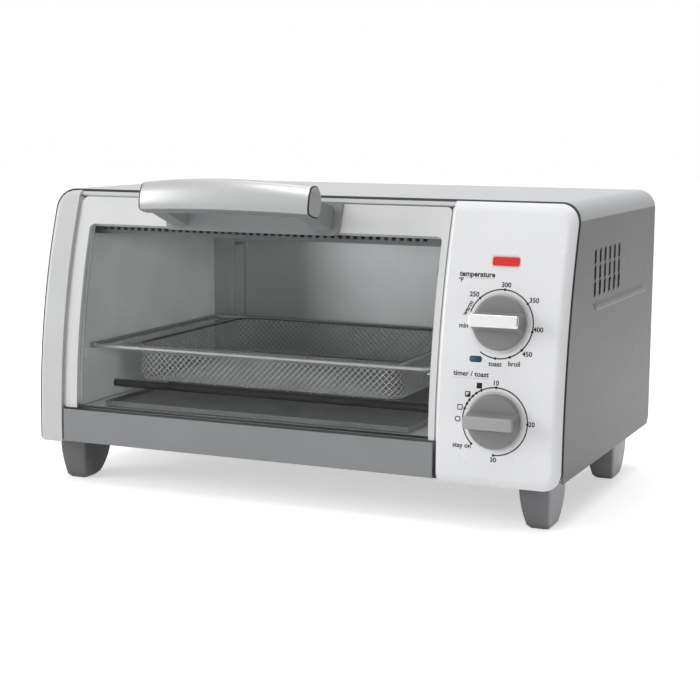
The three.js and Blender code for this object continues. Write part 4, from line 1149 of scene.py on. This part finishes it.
def screw_head(radius, height):
    """A low domed head, about local -Y."""
    rings = [(radius * 0.96, 0.0), (radius, height * 0.15), (radius * 0.97, height * 0.45),
             (radius * 0.8, height * 0.8), (radius * 0.5, height * 0.97), (radius * 0.2, height)]
    return lathe("screw_head", rings, 32)


# Two screws show on each side wall of the cavity.
dull_screw = surface("dull_screw", (0.22, 0.22, 0.225), 0.4, metallic=0.6,
                     fleck=(0.5 * mm, 0.1), peel=(0.8 * mm, 0.006 * mm))
left_wall_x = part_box("cavity_left_wall")[1].x
right_wall_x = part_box("cavity_right_wall")[0].x
for number, (y, z) in enumerate(((25.7, 140.8), (11.8, 57.0)), 1):
    for name, wall_x, sign in (("left", left_wall_x, 1), ("right", right_wall_x, -1)):
        mesh = screw_head(2.6 * mm, 1.3 * mm)
        for vertex in mesh.vertices:
            u, v, w = vertex.co
            vertex.co = (wall_x - sign * v, seam_y + y * mm + u, body_low + z * mm + w)
        piece(f"liner_screw_{name}_{number}", mesh, "root", "steel", dull_screw)

# ---- Heating elements -------------------------------------------------------------------------
# Four straight rods in a dull oxidised steel sheath, a little thinner at their ends, where they
# pass through the side walls. The sheath is near black: partly its own oxide, partly painted shade
# for the dark band under the basket.
# Two lie under the roof and two over the floor.
element_sheath = surface("element_sheath", (0.045, 0.043, 0.04), 0.6, metallic=0.1,
                         fleck=(0.6 * mm, 0.15), cloud=(18 * mm, 0.18), peel=(0.7 * mm, 0.02 * mm))
for place in ("upper_front", "upper_rear", "lower_front", "lower_rear"):
    node = f"heating_element_{place}"
    low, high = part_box(node)
    y, z = (low.y + high.y) / 2, (low.z + high.z) / 2
    radius = (high.z - low.z) / 2
    rings = []
    for x, size in ((low.x, 0.6), (low.x + 1 * mm, 0.95), (low.x + 12 * mm, 0.95),
                    (low.x + 13 * mm, 1.0), (high.x - 13 * mm, 1.0), (high.x - 12 * mm, 0.95),
                    (high.x - 1 * mm, 0.95), (high.x, 0.6)):
        rings.append([(x, y + radius * size * math.cos(2 * math.pi * k / 32),
                       z + radius * size * math.sin(2 * math.pi * k / 32)) for k in range(32)])
    rod = piece(f"{node}_rod", closed_loft("rod", rings), "root", "element_sheath",
                element_sheath, node)
    keep_corners(rod, 50)

# ---- Basket -----------------------------------------------------------------------------------
# A frame of bright wire that slides on the guides, with a pan of woven wire mesh hung in it
# between two lighter bars. The pan's upper edge is bound with a darker wire.
bright_wire = surface("bright_wire", (0.56, 0.56, 0.56), 0.42, metallic=0.6,
                      fleck=(0.5 * mm, 0.05), cloud=(12 * mm, 0.08), peel=(0.6 * mm, 0.004 * mm))
mesh_wire = surface("mesh_wire", (0.55, 0.55, 0.55), 0.36, metallic=0.6, fleck=(0.6 * mm, 0.1),
                    cloud=(25 * mm, 0.12), peel=(0.5 * mm, 0.01 * mm))
rim_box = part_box("basket_rim")
pan_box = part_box("basket_pan")
rim_z = (rim_box[0].z + rim_box[1].z) / 2


def wire_mesh(name, runs, diameter, sides=8, closed=False):
    """Round wires swept along runs of points."""
    points = []
    faces = []
    for run in runs:
        count = len(run)
        start = len(points)
        for i, spot in enumerate(run):
            before = run[(i - 1) % count] if closed or i else run[i]
            after = run[(i + 1) % count] if closed or i < count - 1 else run[i]
            heading = (Vector(after) - Vector(before)).normalized()
            aside = heading.cross(Vector((0, 0, 1)))
            if aside.length < 0.1:
                aside = heading.cross(Vector((1, 0, 0)))
            aside.normalize()
            over = aside.cross(heading).normalized()
            for side in range(sides):
                turn = 2 * math.pi * (side + 0.5) / sides
                points.append(Vector(spot) + diameter / 2 * (aside * math.cos(turn)
                                                             + over * math.sin(turn)))
        last = count if closed else count - 1
        for i in range(last):
            a, b = start + i * sides, start + ((i + 1) % count) * sides
            faces += [(a + k, a + (k + 1) % sides, b + (k + 1) % sides, b + k)
                      for k in range(sides)]
        if not closed:
            faces.append(tuple(range(start, start + sides)))
            faces.append(tuple(range(start + (count - 1) * sides, start + count * sides)))
    return mesh_of(name, points, faces)


wire = 3.2 * mm
rim_outline = rounded_outline(rim_box[0].x + wire / 2, rim_box[1].x - wire / 2,
                              rim_box[0].y + wire / 2, rim_box[1].y - wire / 2, (9 * mm,) * 4, 8)
bar_runs = []
for x in (pan_box[0].x - 1.9 * mm, pan_box[1].x + 1.9 * mm):
    bar_runs.append([(x, y, rim_z) for y in spread(rim_box[0].y + wire / 2, rim_box[1].y - wire / 2,
                                                   30 * mm)])
piece("basket_frame", wire_mesh("basket_frame", [[(x, y, rim_z) for x, y in rim_outline]], wire,
                                16, True),
      "basket", "wire_steel", bright_wire, "basket_rim")
piece("basket_bars", wire_mesh("basket_bars", bar_runs, wire * 0.8, 12), "basket", "wire_steel",
      bright_wire)

pan_top = rim_z + 0.4 * mm
pan_bottom = pan_box[0].z + 0.6 * mm
pan_corner = 13 * mm
mesh_pitch = 4.8 * mm
mesh_wire_size = 0.85 * mm
pan_round = 5 * mm
pan_loop = rounded_outline(pan_box[0].x + 0.5 * mm, pan_box[1].x - 0.5 * mm,
                           pan_box[0].y + 0.5 * mm, pan_box[1].y - 0.5 * mm, (pan_corner,) * 4, 10)
loop_lengths = [0.0]
for i, spot in enumerate(pan_loop):
    following = pan_loop[(i + 1) % len(pan_loop)]
    loop_lengths.append(loop_lengths[-1] + math.dist(spot, following))
loop_total = loop_lengths[-1]
pan_centre = ((pan_box[0].x + pan_box[1].x) / 2, (pan_box[0].y + pan_box[1].y) / 2)
wall_height = pan_top - pan_bottom
wall_run = wall_height - pan_round + math.pi / 2 * pan_round


def on_pan_wall(along, down, out=0.0):
    """A place on the pan's wall: a distance round it, and one down it and under its round."""
    along %= loop_total
    i = max(k for k in range(len(pan_loop)) if loop_lengths[k] <= along)
    share = (along - loop_lengths[i]) / (loop_lengths[i + 1] - loop_lengths[i])
    a, b = pan_loop[i], pan_loop[(i + 1) % len(pan_loop)]
    x, y = a[0] + (b[0] - a[0]) * share, a[1] + (b[1] - a[1]) * share
    tangent = (b[0] - a[0], b[1] - a[1])
    size = math.hypot(*tangent)
    inward = (-tangent[1] / size, tangent[0] / size)
    straight = wall_height - pan_round
    if down <= straight:
        inset, drop = 0.0, down
    else:
        turn = min((down - straight) / pan_round, math.pi / 2)
        inset, drop = pan_round * (1 - math.cos(turn)), straight + pan_round * math.sin(turn)
    inset -= out
    return (x + inward[0] * inset, y + inward[1] * inset, pan_top - drop)


wall_wires = []
wall_wire_count = round(loop_total / mesh_pitch)
for number in range(wall_wire_count):
    start = loop_total * number / wall_wire_count
    for lean in (-1, 1):
        wall_wires.append([on_pan_wall(start + lean * down, down, -0.25 * mm * lean)
                           for down in spread(0.0, wall_run, 3.4 * mm)])


def floor_span(offset, lean):
    """The stretch of a diagonal wire that lies on the pan's flat floor, inside its round."""
    inset = pan_round
    spots = []
    for step in range(121):
        share = -1 + step / 60
        x = pan_centre[0] + share * 230 * mm
        y = pan_centre[1] + offset + lean * share * 230 * mm
        if inset_in(x, y, pan_box[0].x + inset, pan_box[1].x - inset, pan_box[0].y + inset,
                    pan_box[1].y - inset, pan_corner - inset) >= -0.001:
            spots.append((x, y, pan_bottom + 0.25 * mm * lean))
    return [spots[0], spots[-1]] if len(spots) > 1 else None


floor_wires = []
for lean in (-1, 1):
    for number in range(-44, 45):
        span = floor_span(number * mesh_pitch * 1.41, lean)
        if span:
            floor_wires.append(span)
piece("basket_mesh", wire_mesh("basket_mesh", wall_wires + floor_wires, mesh_wire_size, 4),
      "basket", "wire_steel", mesh_wire, "basket_pan")
lip_run = [on_pan_wall(along, 0.0) for along in spread(0.0, loop_total, 4 * mm)[:-1]]
lip_wire = surface("lip_wire", (0.16, 0.16, 0.16), 0.5, metallic=0.4, fleck=(0.8 * mm, 0.1))
piece("basket_lip", wire_mesh("basket_lip", [lip_run], 1.4 * mm, 10, True), "basket",
      "wire_steel", lip_wire)

# ---- Crumb tray -------------------------------------------------------------------------------
# A shallow pan of dark grey sheet steel on the cavity's floor. It slides out through the back
# wall's slot, by a turned-down pull.
tray_sheet = surface("tray_sheet", (0.30, 0.30, 0.305), 0.4, metallic=0.3, fleck=(0.8 * mm, 0.08),
                     cloud=(30 * mm, 0.12), peel=(1.5 * mm, 0.01 * mm))
tray = piece("crumb_tray_pan", copy_of("crumb_tray"), "tray", "tray_steel", tray_sheet,
             "crumb_tray")
round_edges(tray, 0.3 * mm, 3, 50)

# ---- Back cover -------------------------------------------------------------------------------
# A flat steel cover with its foot turned forward, held by four screws, with cooling slots behind
# the switches, two rubber spacers, and the inlet where a cord would enter.
cover = piece("back_cover_sheet", copy_of("back_cover"), "root", "grey_paint", grey_enamel,
              "back_cover")
round_edges(cover, 0.25 * mm, 2, 40)
black_rubber = surface("black_rubber", (0.028, 0.028, 0.03), 0.55, fleck=(0.4 * mm, 0.12),
                       peel=(0.5 * mm, 0.02 * mm))
for number in range(1, 5):
    low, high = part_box(f"cover_screw_{number}")
    x, z = (low.x + high.x) / 2, (low.z + high.z) / 2
    mesh = screw_head((high.x - low.x) / 2, 2 * mm)
    for vertex in mesh.vertices:
        vertex.co = (x + vertex.co.x, high.y - 2 * mm - vertex.co.y, z + vertex.co.z)
    screw = piece(f"cover_screw_head_{number}", mesh, "root", "steel", zinc,
                  f"cover_screw_{number}")
    keep_corners(screw, 50)
for node in ("rear_spacer_left", "rear_spacer_right", "cord_gland"):
    turned = piece(f"{node}_moulding", copy_of(node), "root", "black_plastic", black_rubber, node)
    round_edges(turned, 0.6 * mm, 3, 50)

# ---- Works behind the panel -------------------------------------------------------------------
# The thermostat, the timer and its bell, the fan and its motor, the lamp's holder, the pins and
# the screws keep their CAD shapes, in plated steel or black moulding.
steel_works = ("timer", "timer_bell", "fan_housing", "fan_rotor", "fan_motor",
               "temperature_spindle", "timer_spindle", "door_hinge_pin_left",
               "door_hinge_pin_right", "handle_screw_left", "handle_screw_right")
for finish, nodes in ((black_rubber, ("thermostat", "lamp_holder")), (zinc, steel_works)):
    for node in nodes:
        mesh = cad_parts[node].data
        mesh.materials.clear()
        mesh.materials.append(finish)

# ---- Lamps for single pieces ------------------------------------------------------------------
# Two soft lamps reach through the window: one from the right for the left wall, one from the left
# for the back wall. A third falls on the handle from above, a fourth on the feet from the right.
# Each lights only its own pieces.
for name, place, aim, watts, lit in (
        ("left_wall_lamp", (1.0, -1.0, 0.30), (-0.18, -0.02, 0.13), 7,
         ("cavity_left_wall_sheet", "rack_guide_left_sheet", "basket_mesh")),
        ("back_wall_lamp", (-0.8, -1.3, 0.22), (0.06, 0.1, 0.16), 6,
         ("cavity_back_wall_sheet", "cavity_right_wall_sheet")),
        ("handle_lamp", (-0.1, -0.8, 1.2), (bar_middle, bar_front, bar_height), 6,
         ("handle_grip",)),
        ("foot_lamp", (1.3, -0.25, 0.35), (0.15, 0, 0.02), 19,
         ("foot_front_left_moulding", "foot_front_right_moulding", "foot_rear_left_moulding",
          "foot_rear_right_moulding"))):
    group = bpy.data.collections.new(name)
    for item in lit:
        group.objects.link(bpy.data.objects[item])
    studio_lamp(name, place, aim, (0.4, 0.3), watts).light_linking.receiver_collection = group

# ---- Sizes ------------------------------------------------------------------------------------
# The box round every shown piece of the finished model is measured, the floor left out.
low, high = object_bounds()
